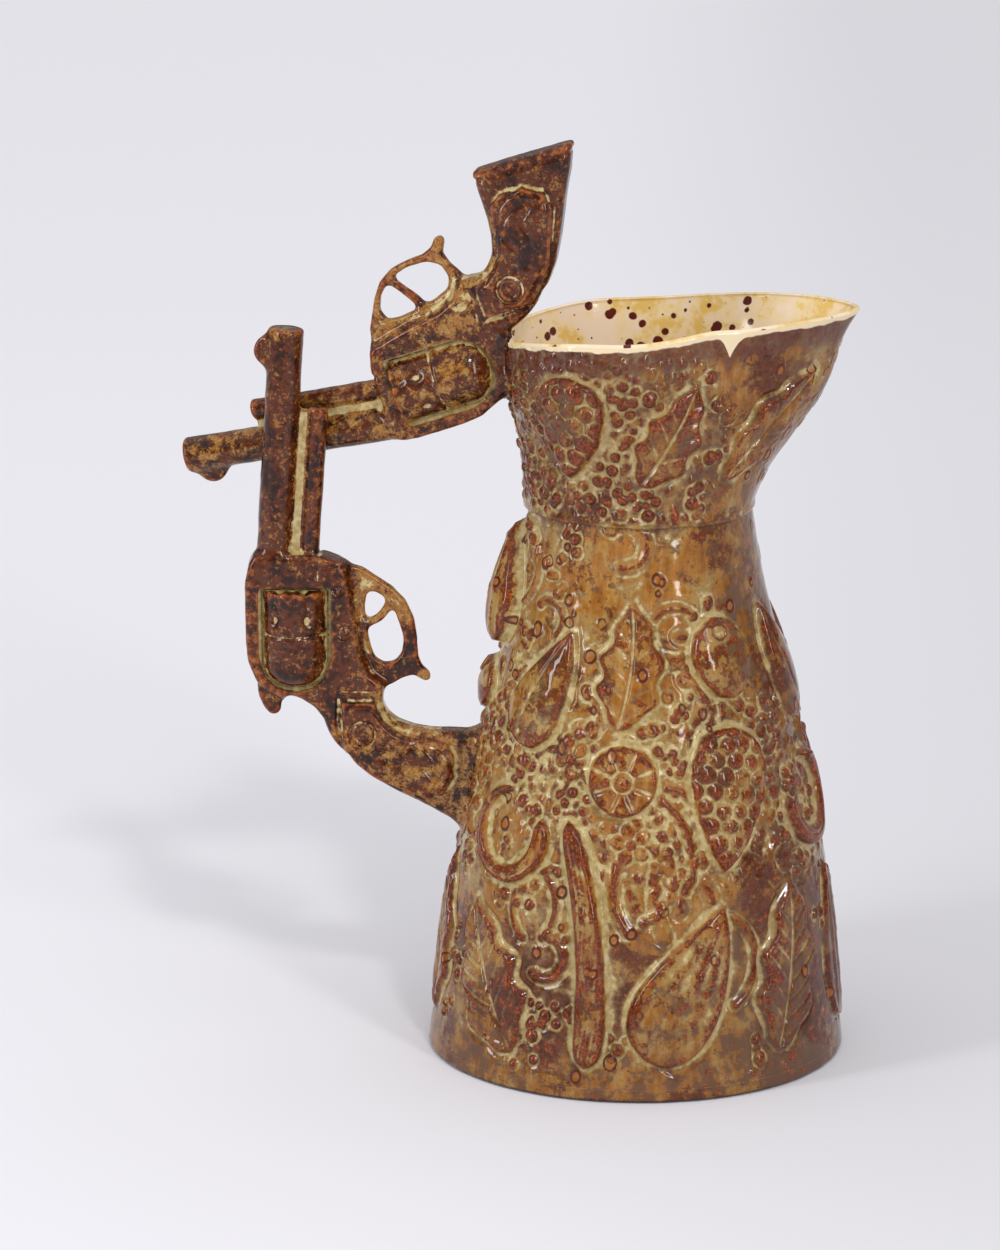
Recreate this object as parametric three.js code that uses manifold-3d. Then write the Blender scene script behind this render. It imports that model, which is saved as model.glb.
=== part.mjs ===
// Stoneware jug with a handle made of two cast toy-revolver shapes, in millimetres, +Z up.
// The origin is the centre of the foot's underside. +X points to the spout and -X to the handle.
// The front of the jug faces -Y. A turn is an angle round the jug, 0 at the front, 90 at the spout.

import * as THREE from "three";
import { mergeVertices } from "three/addons/utils/BufferGeometryUtils.js";
import Module from "manifold-3d";

const wasm = await Module();
wasm.setup();

// Gaps that stand for the luting slip between the clay parts
const LUTING_GAP = 0.3;
const SPRIG_GAP = 0.4;

// Foot slab and body wall
const FOOT_RADIUS = 92.8;
const FOOT_DEPTH_RADIUS = 85;
const FOOT_THICKNESS = 6;
const FOOT_ROUNDING = 1.5;
const NECK_RADIUS = 48.3;
const NECK_HEIGHT = 252;
const WALL_THICKNESS = 6;
const BODY_LEAN = 2;

// The bell shape of the wall: share of the neck's height, share of the way from neck to foot radius
const BODY_SHAPE = [
  [0, 1],
  [0.16, 0.872],
  [0.35, 0.744],
  [0.53, 0.547],
  [0.71, 0.314],
  [0.81, 0.163],
  [0.88, 0.081],
  [0.95, 0.03],
  [1, 0],
];

// Pouring collar: it laps over the neck and flares to an uneven rim with a spout
const COLLAR_LAP = 5;
const COLLAR_LAP_THICKNESS = 1.9;
const LIP_THICKNESS = 2.8;
const LIP_ROUNDING = 1.1;
const LIP_INSET = 0.8;

// The rim: turn in degrees, distance from the axis, height above the neck's edge
const RIM = [
  [0, 56.5, 76.5],
  [30, 57.8, 80.4],
  [44, 63.7, 80.8],
  [62, 73.4, 81.6],
  [78, 85, 81.2],
  [90, 95, 81.7],
  [106, 83.2, 81.5],
  [126, 71, 79.5],
  [148, 61.5, 77],
  [172, 57.5, 74.8],
  [204, 59, 73.6],
  [230, 60, 71.2],
  [262, 60, 69.8],
  [282, 59.5, 69.8],
  [304, 58.8, 72.3],
  [330, 59.5, 75.6],
];

// How the collar flares at the spout and at the handle: share of its height, share of its flare
const SPOUT_FLARE = [
  [0, 0],
  [0.05, 0.01],
  [0.2, 0.15],
  [0.32, 0.31],
  [0.52, 0.575],
  [0.66, 0.72],
  [0.85, 0.84],
  [1, 1],
];
const HANDLE_FLARE = [
  [0, 0],
  [0.24, 0],
  [0.37, 0.1],
  [0.6, 0.58],
  [0.77, 0.84],
  [1, 1],
];

// Facets of the wheel-round shapes
const COLUMNS = 40;
const WALL_ROWS = 14;
const COLLAR_ROWS = 6;
const ROUND_SIDES = 20;
const SMALL_SIDES = 14;
const NOTCH_SIDES = 6;
const FLUTE_SIDES = 8;
const OPENING_POINTS = 22;
const TRIGGER_STEPS = 6;

// How far a cutter runs on past what it cuts
const OVERRUN = 2;

// The revolver casts, in their own side plane: x forward, y up to the top strap, z to the near side.
// Their origin is the middle of the cylinder.
const FRAME_THICKNESS = 16;
const FRAME_ROUNDING = 2;
const GRIP_CORE_THICKNESS = 15;
const PANEL_THICKNESS = 3.8;
const PANEL_ROUNDING = 1.6;
const FRAME_FRONT = 38.1;
const CYLINDER_RADIUS = 14.8;
const CYLINDER_REAR = -21.8;
const CYLINDER_FRONT = 22.4;
const CYLINDER_BEVEL = 1.4;
const CYLINDER_GROOVE = 2.8;
const GROOVE_DEPTH = 0.6;
const GROOVE_HALF_WIDTH = 1;
const NOTCH_COUNT = 6;
const NOTCH_RADIUS = 2.3;
const NOTCH_AT = 9;
const NOTCH_DEPTH = 0.9;
const FIRST_NOTCH_DEGREES = 42;
const FLUTE_RADIUS = 3.2;
const FLUTE_DEPTH = 1.2;
const FLUTE_LENGTH = 8.5;
const FIRST_FLUTE_DEGREES = 12;
const BARREL_RADIUS = 7.75;
const MUZZLE_ROUNDING = 1.4;
const EJECTOR_RADIUS = 4.35;
const EJECTOR_DROP = 15.7;
const EJECTOR_SHORTER = 34;
const WEB_THICKNESS = 4.6;
const SIGHT_RADIUS = 7;
const SIGHT_THICKNESS = 3.6;
const SIGHT_FROM_MUZZLE = 10.4;
const SIGHT_SINK = 1;
const HAMMER_THICKNESS = 6;
const HAMMER_ROUNDING = 1.2;
const GUARD_THICKNESS = 5.4;
const GUARD_ROUNDING = 1.3;
const TRIGGER_THICKNESS = 4.4;
const TRIGGER_WIDTH = 3.8;
const TRIGGER_ROUNDING = 1;
const MEDALLION_RADIUS = 5.3;
const MEDALLION_AT = [-42.2, -29.2];
const MEDALLION_THICKNESS = 2.4;
const MEDALLION_SINK = 1;
const MEDALLION_EDGE = 0.8;
const MEDALLION_RING = 1.8;

// The rounded back of the cylinder: distance from its rear, distance below its full radius
const CYLINDER_BACK = [
  [0, 6],
  [1.6, 2.8],
  [5.4, 0.7],
  [10, 0],
];

// Outline of the frame's thick front part, its strap down the back included
const FRAME_BOTTOM = [
  [-22.5, -38.6],
  [-20, -38],
  [-15.8, -32.5],
  [-6.8, -28.5],
  [8, -26.8],
  [20.9, -24.7],
  [34, -22.1],
  [37.2, -14.7],
  [FRAME_FRONT, -10.7],
];
const FRAME_TOP = [
  [FRAME_FRONT, 17.8],
  [34, 20.2],
  [25.4, 21.7],
  [-1.8, 21.7],
  [-10, 20.8],
  [-20.4, 16.2],
  [-27.2, 6.4],
  [-25.4, 2],
  [-27, -2],
  [-30.4, -7.7],
  [-36.5, -12.5],
  [-43.3, -15.4],
  [-49.6, -19.4],
  [-27, -18.9],
  [-27, -37.4],
];

// Outline of the grip, from the frame down the back to the butt and up the front strap
const GRIP_BACK = [
  [-24, -14],
  [-36.5, -12.9],
  [-43.3, -15.4],
  [-50.8, -20.4],
  [-57.8, -26],
  [-63.6, -33.2],
  [-69.8, -44],
  [-76.2, -57],
  [-83.4, -69.4],
];
const BUTT_BACK = [-88.6, -80.6];
const BUTT_FRONT = [-42.6, -81.6];
const GRIP_FRONT = [
  [-42, -69],
  [-41.8, -60.2],
  [-40.4, -51.6],
  [-38, -45],
  [-33.6, -40.2],
  [-29, -38.3],
  [-24, -38.2],
];
const PANEL = [
  [-27.6, -20],
  [-49, -20.9],
  [-56.4, -27.2],
  [-62, -34.2],
  [-67, -45.4],
  [-72, -57.6],
  [-70.5, -64.5],
  [-62, -69.6],
  [-52.4, -69.8],
  [-46.2, -66.2],
  [-45.4, -60.5],
  [-43.8, -51.8],
  [-41.3, -45.2],
  [-36.6, -39.8],
  [-31, -36],
  [-27.6, -35.6],
];

// Trigger guard: its outer edge with the rear spur, and its opening
const GUARD_OUTER = [
  [34, -20],
  [31.6, -29.5],
  [26.6, -36.8],
  [22.6, -42.8],
  [16.7, -48.4],
  [8.4, -52.2],
  [-0.9, -53.6],
  [-8.6, -53.9],
  [-13.2, -55.6],
  [-16.2, -59.2],
  [-19.2, -59.6],
  [-20.4, -57],
  [-17.4, -51.6],
  [-18.9, -46.6],
  [-21.6, -42.4],
  [-22.6, -36],
  [-15, -28],
];
const GUARD_OPENING = [
  [20.2, -31.6],
  [20.6, -35],
  [17.6, -39.4],
  [12, -43.2],
  [5.2, -45.8],
  [-1.2, -47.2],
  [-7.2, -46.4],
  [-11, -43.4],
  [-11.8, -38.8],
  [-9, -35],
  [-3.4, -32.9],
  [4, -31.8],
  [13.4, -30.6],
];
const HAMMER = [
  [-18.6, 12.6],
  [-20.8, 17.4],
  [-28, 15.6],
  [-34.4, 11.6],
  [-35.4, 8.6],
  [-31.2, 8.8],
  [-26, 2.6],
];

// How far above and below the neck's edge the middles of the two casts' cylinders sit
const UPPER_ABOVE_NECK = 51.1;
const LOWER_BELOW_NECK = 65.6;

// Where the two revolvers sit on the jug, seen from the front, and how each cast came out:
// noseScale is how far its parts ahead of the cylinder's middle shrank, 1 being not at all
const LOWER_REVOLVER = {
  prefix: "lower",
  at: [-150.1, NECK_HEIGHT - LOWER_BELOW_NECK],
  pointsDegrees: 90,
  yawDegrees: 0,
  noseScale: 1,
  barrelRoot: 9.6,
  barrelDroop: 3.9,
  barrelLength: 100,
  triggerLine: [
    [5.5, -27],
    [6.9, -33.5],
    [10.4, -38.4],
    [18.5, -43.5],
  ],
  buttReach: 6.3,
  hasHammer: true,
};
const UPPER_REVOLVER = {
  prefix: "upper",
  at: [-83.4, NECK_HEIGHT + UPPER_ABOVE_NECK],
  pointsDegrees: 200,
  yawDegrees: 11,
  noseScale: 0.8,
  barrelRoot: 13.6,
  barrelDroop: 8,
  barrelLength: 94.4,
  triggerLine: [
    [-2, -27],
    [0.8, -35],
    [5.4, -41],
    [12.5, -49],
  ],
  buttReach: 0,
  hasHammer: false,
};

// Press-moulded reliefs: turn of the middle, its height as a share of the neck's height, heading of
// the spine in degrees, spine length, half width, how many degrees the spine bends, and a swell
// that isn't its kind's own
const RELIEFS = [
  ["front_gourd", "gourd", 12, 0.206, 62, 74, 20, 14],
  ["front_trunk", "branch", -20, 0.27, 98, 108, 8, 24],
  ["front_leaf", "leaf", -49, 0.19, 118, 70, 19, -20],
  ["right_leaf", "leaf", 46, 0.214, 80, 76, 18, 22],
  ["spout_gourd", "gourd", 80, 0.206, 96, 74, 18, 14, 2.2],
  ["handle_leaf", "leaf", -84, 0.218, 92, 74, 14, 14, 3.4],
  ["front_grapes", "cluster", 29, 0.516, -100, 62, 19, 0],
  ["front_rosette", "rosette", -8, 0.556, 90, 31, 15.5, 0],
  ["left_scroll", "scroll", -49, 0.444, 150, 92, 5.5, -290],
  ["right_scroll", "scroll", 70, 0.484, 40, 88, 5.5, 280, 3.6],
  ["upper_pear", "pear", -44, 0.698, 66, 54, 15, 16],
  ["upper_leaf", "leaf", -8, 0.746, 84, 54, 14, 24],
  ["upper_fruit", "fruit", 34, 0.754, 100, 36, 15, 0],
  ["spout_pear", "pear", 74, 0.722, 108, 54, 15, -14],
  ["handle_gourd", "gourd", -90, 0.841, 94, 55, 16, 8, 11.4],
  ["handle_fruit", "fruit", -90, 0.661, 90, 25, 15, 0, 6],
  ["back_leaf", "leaf", 120, 0.214, 96, 76, 18, -18],
  ["back_gourd", "gourd", 158, 0.206, 78, 74, 20, 12],
  ["back_trunk", "branch", -168, 0.278, 82, 112, 8, -24],
  ["back_side_leaf", "leaf", -132, 0.198, 70, 72, 19, 20],
  ["back_scroll", "scroll", 112, 0.492, 150, 88, 5.5, -280],
  ["back_grapes", "cluster", 150, 0.524, -82, 62, 19, 0],
  ["back_side_scroll", "scroll", -136, 0.484, 40, 92, 5.5, 290],
  ["back_upper_pear", "pear", 112, 0.746, 74, 52, 14, 12],
  ["back_upper_leaf", "leaf", 158, 0.762, 96, 52, 14, -20],
  ["back_upper_fruit", "fruit", -154, 0.762, 84, 36, 15, 0],
];

// The same on the collar, with the height of the middle above the neck's edge
const COLLAR_RELIEFS = [
  ["collar_grapes", "cluster", -34, 38, -95, 46, 17, 0],
  ["collar_leaf", "leaf", 12, 36, 62, 50, 13, 16],
  ["collar_spray", "leaf", 62, 36, 50, 58, 12, -14],
  ["collar_back_leaf", "leaf", 118, 34, 118, 54, 13, 16],
  ["collar_back_grapes", "cluster", 172, 34, -85, 46, 17, 0],
];

// How far each kind of relief swells over its edge, how thick that edge is, and how wide a tip is
const RELIEF_HEIGHTS = {
  gourd: 4.6,
  pear: 4.4,
  fruit: 4.6,
  leaf: 2.4,
  cluster: 3.6,
  rosette: 2.8,
  branch: 3.4,
  scroll: 2.8,
};
const RELIEF_EDGE = 0.9;
const BLUNT_END = 1.2;

const GLAZES = {
  ochre: 0x9f6f38,
  rust: 0x7a3a1c,
  umber: 0x5a2a18,
  cream: 0xe6d7a8,
  tan: 0xa98545,
};

const degrees = THREE.MathUtils.degToRad;
const mix = THREE.MathUtils.lerp;

function material(colour) {
  return new THREE.MeshStandardMaterial({ color: colour, roughness: 0.2, metalness: 0 });
}

// Value at a place on a smooth curve through [place, value, ...] knots; with a period it closes on itself
function through(knots, place, column = 1, period = 0) {
  const count = knots.length;
  const wrapped = period ? THREE.MathUtils.euclideanModulo(place, period) : place;
  let index = knots.findLastIndex((knot) => knot[0] <= wrapped);
  index = period ? index : Math.min(Math.max(index, 0), count - 2);
  const knotAt = (offset) => {
    const number = index + offset;
    if (!period) return knots[Math.min(Math.max(number, 0), count - 1)];
    const knot = [...knots[THREE.MathUtils.euclideanModulo(number, count)]];
    knot[0] += period * Math.floor(number / count);
    return knot;
  };
  const [before, start, end, after] = [knotAt(-1), knotAt(0), knotAt(1), knotAt(2)];
  const span = end[0] - start[0];
  const share = (wrapped - start[0]) / span;
  const slopeOver = (a, b) => (b[column] - a[column]) / (b[0] - a[0] || 1);
  const startSlope = slopeOver(before, end) * span;
  const endSlope = slopeOver(start, after) * span;
  const square = share * share;
  const cube = square * share;
  return (
    (2 * cube - 3 * square + 1) * start[column] +
    (cube - 2 * square + share) * startSlope +
    (3 * square - 2 * cube) * end[column] +
    (cube - square) * endSlope
  );
}

// The wall's outer surface, moved out by lift
function bodyRadius(height) {
  return mix(NECK_RADIUS, FOOT_RADIUS, through(BODY_SHAPE, height / NECK_HEIGHT));
}

function bodyPoint(turn, height, lift) {
  const share = through(BODY_SHAPE, height / NECK_HEIGHT);
  const across = mix(NECK_RADIUS, FOOT_RADIUS, share) + lift;
  const deep = mix(NECK_RADIUS, FOOT_DEPTH_RADIUS, share) + lift;
  const middle = BODY_LEAN * Math.sin((Math.PI * height) / NECK_HEIGHT);
  return new THREE.Vector3(middle + across * Math.sin(turn), -deep * Math.cos(turn), height);
}

// The collar's surfaces: the lower edge laps the neck, the upper edge is the rim
const COLLAR_FOOT = NECK_HEIGHT - COLLAR_LAP;

function rimRadius(turn) {
  return through(RIM, THREE.MathUtils.radToDeg(turn), 1, 360);
}

function rimHeight(turn) {
  return NECK_HEIGHT + through(RIM, THREE.MathUtils.radToDeg(turn), 2, 360);
}

function collarFlare(turn, rise) {
  const atSpout = (1 + Math.sin(turn)) / 2;
  return mix(through(HANDLE_FLARE, rise), through(SPOUT_FLARE, rise), atSpout);
}

function collarRadius(turn, height, lift) {
  const rise = (height - COLLAR_FOOT) / (rimHeight(turn) - COLLAR_FOOT);
  const foot = NECK_RADIUS + LUTING_GAP + COLLAR_LAP_THICKNESS;
  return mix(foot, rimRadius(turn), collarFlare(turn, rise)) + lift;
}

function collarPoint(turn, height, lift) {
  const radius = collarRadius(turn, height, lift);
  return new THREE.Vector3(radius * Math.sin(turn), -radius * Math.cos(turn), height);
}

// Joins rings of points into one surface; it is closed on itself, or capped at both ends
function loft(rings, capped) {
  const columns = rings[0].length;
  const positions = rings.flat().flatMap((point) => point.toArray());
  const index = [];
  const bands = capped ? rings.length - 1 : rings.length;
  for (let row = 0; row < bands; row += 1) {
    const next = (row + 1) % rings.length;
    for (let column = 0; column < columns; column += 1) {
      const beside = (column + 1) % columns;
      const a = row * columns + column;
      const b = row * columns + beside;
      const c = next * columns + beside;
      const d = next * columns + column;
      index.push(a, b, c, a, c, d);
    }
  }
  if (capped) {
    const addCap = (row, flip) => {
      const middle = new THREE.Vector3();
      rings[row].forEach((point) => middle.add(point));
      middle.divideScalar(columns);
      const centre = positions.length / 3;
      positions.push(...middle.toArray());
      for (let column = 0; column < columns; column += 1) {
        const a = row * columns + column;
        const b = row * columns + ((column + 1) % columns);
        index.push(...(flip ? [centre, b, a] : [centre, a, b]));
      }
    };
    addCap(0, true);
    addCap(rings.length - 1, false);
  }
  const geometry = new THREE.BufferGeometry();
  geometry.setAttribute("position", new THREE.Float32BufferAttribute(positions, 3));
  geometry.setIndex(index);
  return geometry;
}

function ringOf(columns, pointAt) {
  return Array.from({ length: columns }, (_, column) => pointAt((2 * Math.PI * column) / columns));
}

function steps(from, to, count) {
  return Array.from({ length: count + 1 }, (_, step) => mix(from, to, step / count));
}

// Solids for cutting and joining
function solidFrom(geometry) {
  geometry.deleteAttribute("normal");
  geometry.deleteAttribute("uv");
  const merged = mergeVertices(geometry, 1e-4);
  const vertProperties = new Float32Array(merged.attributes.position.array);
  const triVerts = new Uint32Array(merged.index.array);
  const solid = new wasm.Manifold(new wasm.Mesh({ numProp: 3, vertProperties, triVerts }));
  if (solid.volume() > 0) return solid;
  for (let corner = 0; corner < triVerts.length; corner += 3) {
    [triVerts[corner], triVerts[corner + 1]] = [triVerts[corner + 1], triVerts[corner]];
  }
  return new wasm.Manifold(new wasm.Mesh({ numProp: 3, vertProperties, triVerts }));
}

function meshFrom(name, solid, colour) {
  const { vertProperties, triVerts, numProp } = solid.getMesh();
  const positions = [];
  for (let corner = 0; corner < vertProperties.length; corner += numProp) {
    positions.push(...vertProperties.slice(corner, corner + 3));
  }
  const geometry = new THREE.BufferGeometry();
  geometry.setAttribute("position", new THREE.Float32BufferAttribute(positions, 3));
  geometry.setIndex(Array.from(triVerts));
  geometry.computeVertexNormals();
  const mesh = new THREE.Mesh(geometry, material(colour));
  mesh.name = name;
  return mesh;
}

// Foot slab: a flat oval plate that the wall stands on
function footSlab() {
  const footRing = (height, lift) => ringOf(COLUMNS, (turn) => bodyPoint(turn, 0, lift).setZ(height));
  const rings = [
    footRing(0, -FOOT_ROUNDING),
    footRing(FOOT_ROUNDING, 0),
    footRing(FOOT_THICKNESS, 0),
  ];
  return solidFrom(loft(rings, true));
}

// Body wall: an open bell from the foot slab to the neck
function bodyWall() {
  const heights = steps(FOOT_THICKNESS + LUTING_GAP, NECK_HEIGHT, WALL_ROWS);
  const outside = heights.map((height) => ringOf(COLUMNS, (turn) => bodyPoint(turn, height, 0)));
  const inside = heights.map((height) => ringOf(COLUMNS, (turn) => bodyPoint(turn, height, -WALL_THICKNESS)));
  return solidFrom(loft([...outside, ...inside.reverse()], false));
}

// Pouring collar: it sits on the neck's edge and laps down over it
function pouringCollar() {
  const seat = NECK_HEIGHT + LUTING_GAP;
  const outerRing = (rise) =>
    ringOf(COLUMNS, (turn) => collarPoint(turn, mix(COLLAR_FOOT, rimHeight(turn) - LIP_ROUNDING, rise), 0));
  const innerPoint = (turn, rise) => {
    const top = rimHeight(turn) - LIP_ROUNDING;
    const flare = collarFlare(turn, rise);
    const radius = mix(NECK_RADIUS - WALL_THICKNESS, rimRadius(turn) - LIP_THICKNESS, flare);
    return new THREE.Vector3(radius * Math.sin(turn), -radius * Math.cos(turn), mix(seat, top, rise));
  };
  const lipPoint = (turn, inset) => {
    const radius = rimRadius(turn) - inset;
    return new THREE.Vector3(radius * Math.sin(turn), -radius * Math.cos(turn), rimHeight(turn));
  };
  const rises = steps(0, 1, COLLAR_ROWS);
  const rings = rises.map(outerRing);
  rings.push(ringOf(COLUMNS, (turn) => lipPoint(turn, LIP_INSET)));
  rings.push(ringOf(COLUMNS, (turn) => lipPoint(turn, LIP_THICKNESS - LIP_INSET)));
  rings.push(...[...rises].reverse().map((rise) => ringOf(COLUMNS, (turn) => innerPoint(turn, rise))));
  rings.push(ringOf(COLUMNS, (turn) => bodyPoint(turn, NECK_HEIGHT, LUTING_GAP).setZ(seat)));
  rings.push(ringOf(COLUMNS, (turn) => bodyPoint(turn, COLLAR_FOOT, LUTING_GAP)));
  return solidFrom(loft(rings, false));
}

// The filled outer shapes, one luting gap larger, that cut whatever is joined to the jug
function bodyCutter() {
  const rings = steps(FOOT_THICKNESS, NECK_HEIGHT, WALL_ROWS).map((height) =>
    ringOf(COLUMNS, (turn) => bodyPoint(turn, height, LUTING_GAP)),
  );
  return solidFrom(loft(rings, true));
}

function collarCutter() {
  const rings = steps(0, 1, COLLAR_ROWS).map((rise) =>
    ringOf(COLUMNS, (turn) => collarPoint(turn, mix(COLLAR_FOOT, rimHeight(turn), rise), LUTING_GAP)),
  );
  rings.push(rings.at(-1).map((point) => point.clone().setZ(point.z + LUTING_GAP)));
  return solidFrom(loft(rings, true));
}

// Half width of a relief along its spine, as a share of its own half width
const RELIEF_WIDTHS = {
  gourd: (t) => 1.1 * Math.sin(Math.PI * t ** 0.72) ** 0.62 * (1 - 0.3 * t),
  pear: (t) => 1.12 * Math.sin(Math.PI * t ** 0.66) ** 0.6 * (1 - 0.34 * t),
  fruit: (t) => Math.sin(Math.PI * t) ** 0.5,
  leaf: (t) => 0.95 * Math.sin(Math.PI * t ** 0.8) ** 0.75 * (1 + 0.13 * Math.cos(7 * Math.PI * t + 0.4)),
  cluster: (t) => Math.sin(Math.PI * t ** 0.62) ** 0.66,
  rosette: (t) => 2 * Math.sqrt(t * (1 - t)),
  branch: (t) => (1 - 0.3 * t) * Math.sqrt(1 - Math.abs(2 * t - 1) ** 10),
  scroll: (t) => (1 - 0.45 * t) * Math.sqrt(1 - Math.abs(2 * t - 1) ** 10),
};

// Swell of a relief at a share of its width and a share of its length
const RELIEF_SWELLS = {
  gourd: (c, t) => Math.sqrt((1 - c * c) * Math.sin(Math.PI * t ** 0.8)),
  pear: (c, t) => Math.sqrt((1 - c * c) * Math.sin(Math.PI * t ** 0.8)),
  fruit: (c, t) => Math.sqrt((1 - c * c) * Math.sin(Math.PI * t)),
  leaf: (c, t) => (1 - c * c) ** 0.4 * Math.sin(Math.PI * t) ** 0.5 * (0.55 + 0.9 * Math.abs(c)),
  cluster: (c, t) =>
    Math.sqrt(1 - c * c) * (0.75 + 0.25 * Math.cos(12 * Math.PI * t) * Math.cos(4 * Math.PI * c)),
  rosette: (c, t) =>
    0.55 + 0.45 * Math.cos(3 * Math.PI * Math.hypot(2 * t - 1, c * RELIEF_WIDTHS.rosette(t))),
  branch: (c, t) => Math.sqrt(1 - c * c) * (0.85 + 0.15 * Math.cos(9 * Math.PI * t)),
  scroll: (c) => Math.sqrt(1 - c * c),
};
const RELIEF_GRIDS = {
  gourd: [8, 4],
  pear: [8, 4],
  fruit: [6, 4],
  leaf: [10, 4],
  cluster: [10, 6],
  rosette: [8, 6],
  branch: [9, 3],
  scroll: [14, 3],
};

// The spine of a relief on the flat: evenly bending, with its middle at the origin
function spinePoints(length, headingDegrees, bendDegrees, count) {
  const points = [new THREE.Vector2(0, 0)];
  const angleAt = (share) => degrees(headingDegrees + bendDegrees * (share - 0.5));
  for (let step = 1; step <= count; step += 1) {
    const angle = angleAt((step - 0.5) / count);
    const along = new THREE.Vector2(Math.cos(angle), Math.sin(angle)).multiplyScalar(length / count);
    points.push(points.at(-1).clone().add(along));
  }
  const box = new THREE.Box2().setFromPoints(points);
  const middle = box.getCenter(new THREE.Vector2());
  return points.map((point, step) => ({ point: point.sub(middle), angle: angleAt(step / count) }));
}

// Closes a strip of flat rings with its two end rings, each a row over and a row under
function gridSolid(rings) {
  const geometry = loft(rings, true);
  const size = rings[0].length;
  const half = size / 2;
  const bands = (rings.length - 1) * size * 6;
  const index = Array.from(geometry.index.array).slice(0, bands);
  const addEnd = (row, flip) => {
    for (let column = 0; column < half - 1; column += 1) {
      const a = row * size + column;
      const b = a + 1;
      const c = row * size + (size - 2 - column);
      const d = row * size + (size - 1 - column);
      index.push(...(flip ? [a, c, b, a, d, c] : [a, b, c, a, c, d]));
    }
  };
  addEnd(0, true);
  addEnd(rings.length - 1, false);
  const positions = geometry.attributes.position.array.slice(0, rings.length * size * 3);
  const closed = new THREE.BufferGeometry();
  closed.setAttribute("position", new THREE.BufferAttribute(positions, 3));
  closed.setIndex(index);
  return closed;
}

// A relief: a pad that follows the wall one gap away, with its swell on the outside
function relief([name, kind, turnDegrees, , heading, length, halfWidth, bend, ownSwell], height, surface) {
  const [rows, columns] = RELIEF_GRIDS[kind];
  const spine = spinePoints(length, heading, bend, rows);
  const pointAt = (row, column, outside) => {
    const t = row / rows;
    const c = -Math.cos((Math.PI * column) / columns);
    const { point, angle } = spine[row];
    const width = Math.max(halfWidth * RELIEF_WIDTHS[kind](t), BLUNT_END);
    const across = point.x - Math.sin(angle) * c * width;
    const up = height + point.y + Math.cos(angle) * c * width;
    const turn = degrees(turnDegrees) + across / surface.radius(degrees(turnDegrees), up);
    const swell = (ownSwell ?? RELIEF_HEIGHTS[kind]) * Math.max(RELIEF_SWELLS[kind](c, t), 0) || 0;
    return surface.point(turn, up, SPRIG_GAP + (outside ? RELIEF_EDGE + swell : 0));
  };
  const rings = steps(0, rows, rows).map((row) => {
    const over = steps(0, columns, columns).map((column) => pointAt(row, column, true));
    const under = steps(columns, 0, columns).map((column) => pointAt(row, column, false));
    return [...over, ...under];
  });
  return meshFrom(name, solidFrom(gridSolid(rings)), kind === "leaf" ? GLAZES.tan : GLAZES.rust);
}

// Flat outlines in the revolver's side plane
function vectors(outline) {
  return outline.map(([x, y]) => new THREE.Vector2(x, y));
}

function grown(outline, distance) {
  const points = vectors(outline);
  const side = THREE.ShapeUtils.isClockWise(points) ? -1 : 1;
  return points.map((point, index) => {
    const before = points.at(index - 1);
    const after = points[(index + 1) % points.length];
    const into = point.clone().sub(before).normalize();
    const out = after.clone().sub(point).normalize();
    const normal = new THREE.Vector2(into.y + out.y, -into.x - out.x).normalize();
    const corner = Math.max(normal.dot(new THREE.Vector2(into.y, -into.x)), 0.5);
    const moved = point.clone().addScaledVector(normal, (side * distance) / corner);
    return [moved.x, moved.y];
  });
}

function rounded(outline, pointCount) {
  const corners = outline.map(([x, y]) => new THREE.Vector3(x, y, 0));
  const curve = new THREE.CatmullRomCurve3(corners, true, "centripetal");
  return curve.getPoints(pointCount).slice(0, -1).map((point) => [point.x, point.y]);
}

// A plate in the side plane with rounded edges, from one side height to another
function plate(outline, from, to, rounding, opening) {
  const points = vectors(outline);
  if (THREE.ShapeUtils.isClockWise(points)) points.reverse();
  const shape = new THREE.Shape(points);
  if (opening) shape.holes.push(new THREE.Path(vectors(opening)));
  const geometry = new THREE.ExtrudeGeometry(shape, {
    depth: to - from - 2 * rounding,
    bevelEnabled: rounding > 0,
    bevelThickness: rounding,
    bevelSize: rounding,
    bevelOffset: -rounding,
    bevelSegments: 1,
    steps: 1,
  });
  geometry.translate(0, 0, from + rounding);
  return solidFrom(geometry);
}

// A turned rod along +x from a profile of [along, radius] pairs that starts and ends on the axis
function turned(profile, sides) {
  const geometry = new THREE.LatheGeometry(vectors(profile.map(([along, radius]) => [radius, along])), sides);
  geometry.rotateZ(-Math.PI / 2);
  return solidFrom(geometry);
}

// A rod from the origin along +x with a rounded far end
function rod(length, radius, rounding, sides) {
  const corner = rounding * (1 - Math.SQRT1_2);
  const profile = [
    [0, 0],
    [0, radius],
    [length - rounding, radius],
    [length - corner, radius - corner],
    [length, radius - rounding],
    [length, 0],
  ];
  return turned(profile, sides);
}

// A round pocket or pin across the side plane, from one side height up
function upright(radius, height, from, sides) {
  const geometry = new THREE.CylinderGeometry(radius, radius, height, sides);
  geometry.rotateX(Math.PI / 2);
  geometry.translate(0, 0, from + height / 2);
  return solidFrom(geometry);
}

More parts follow.
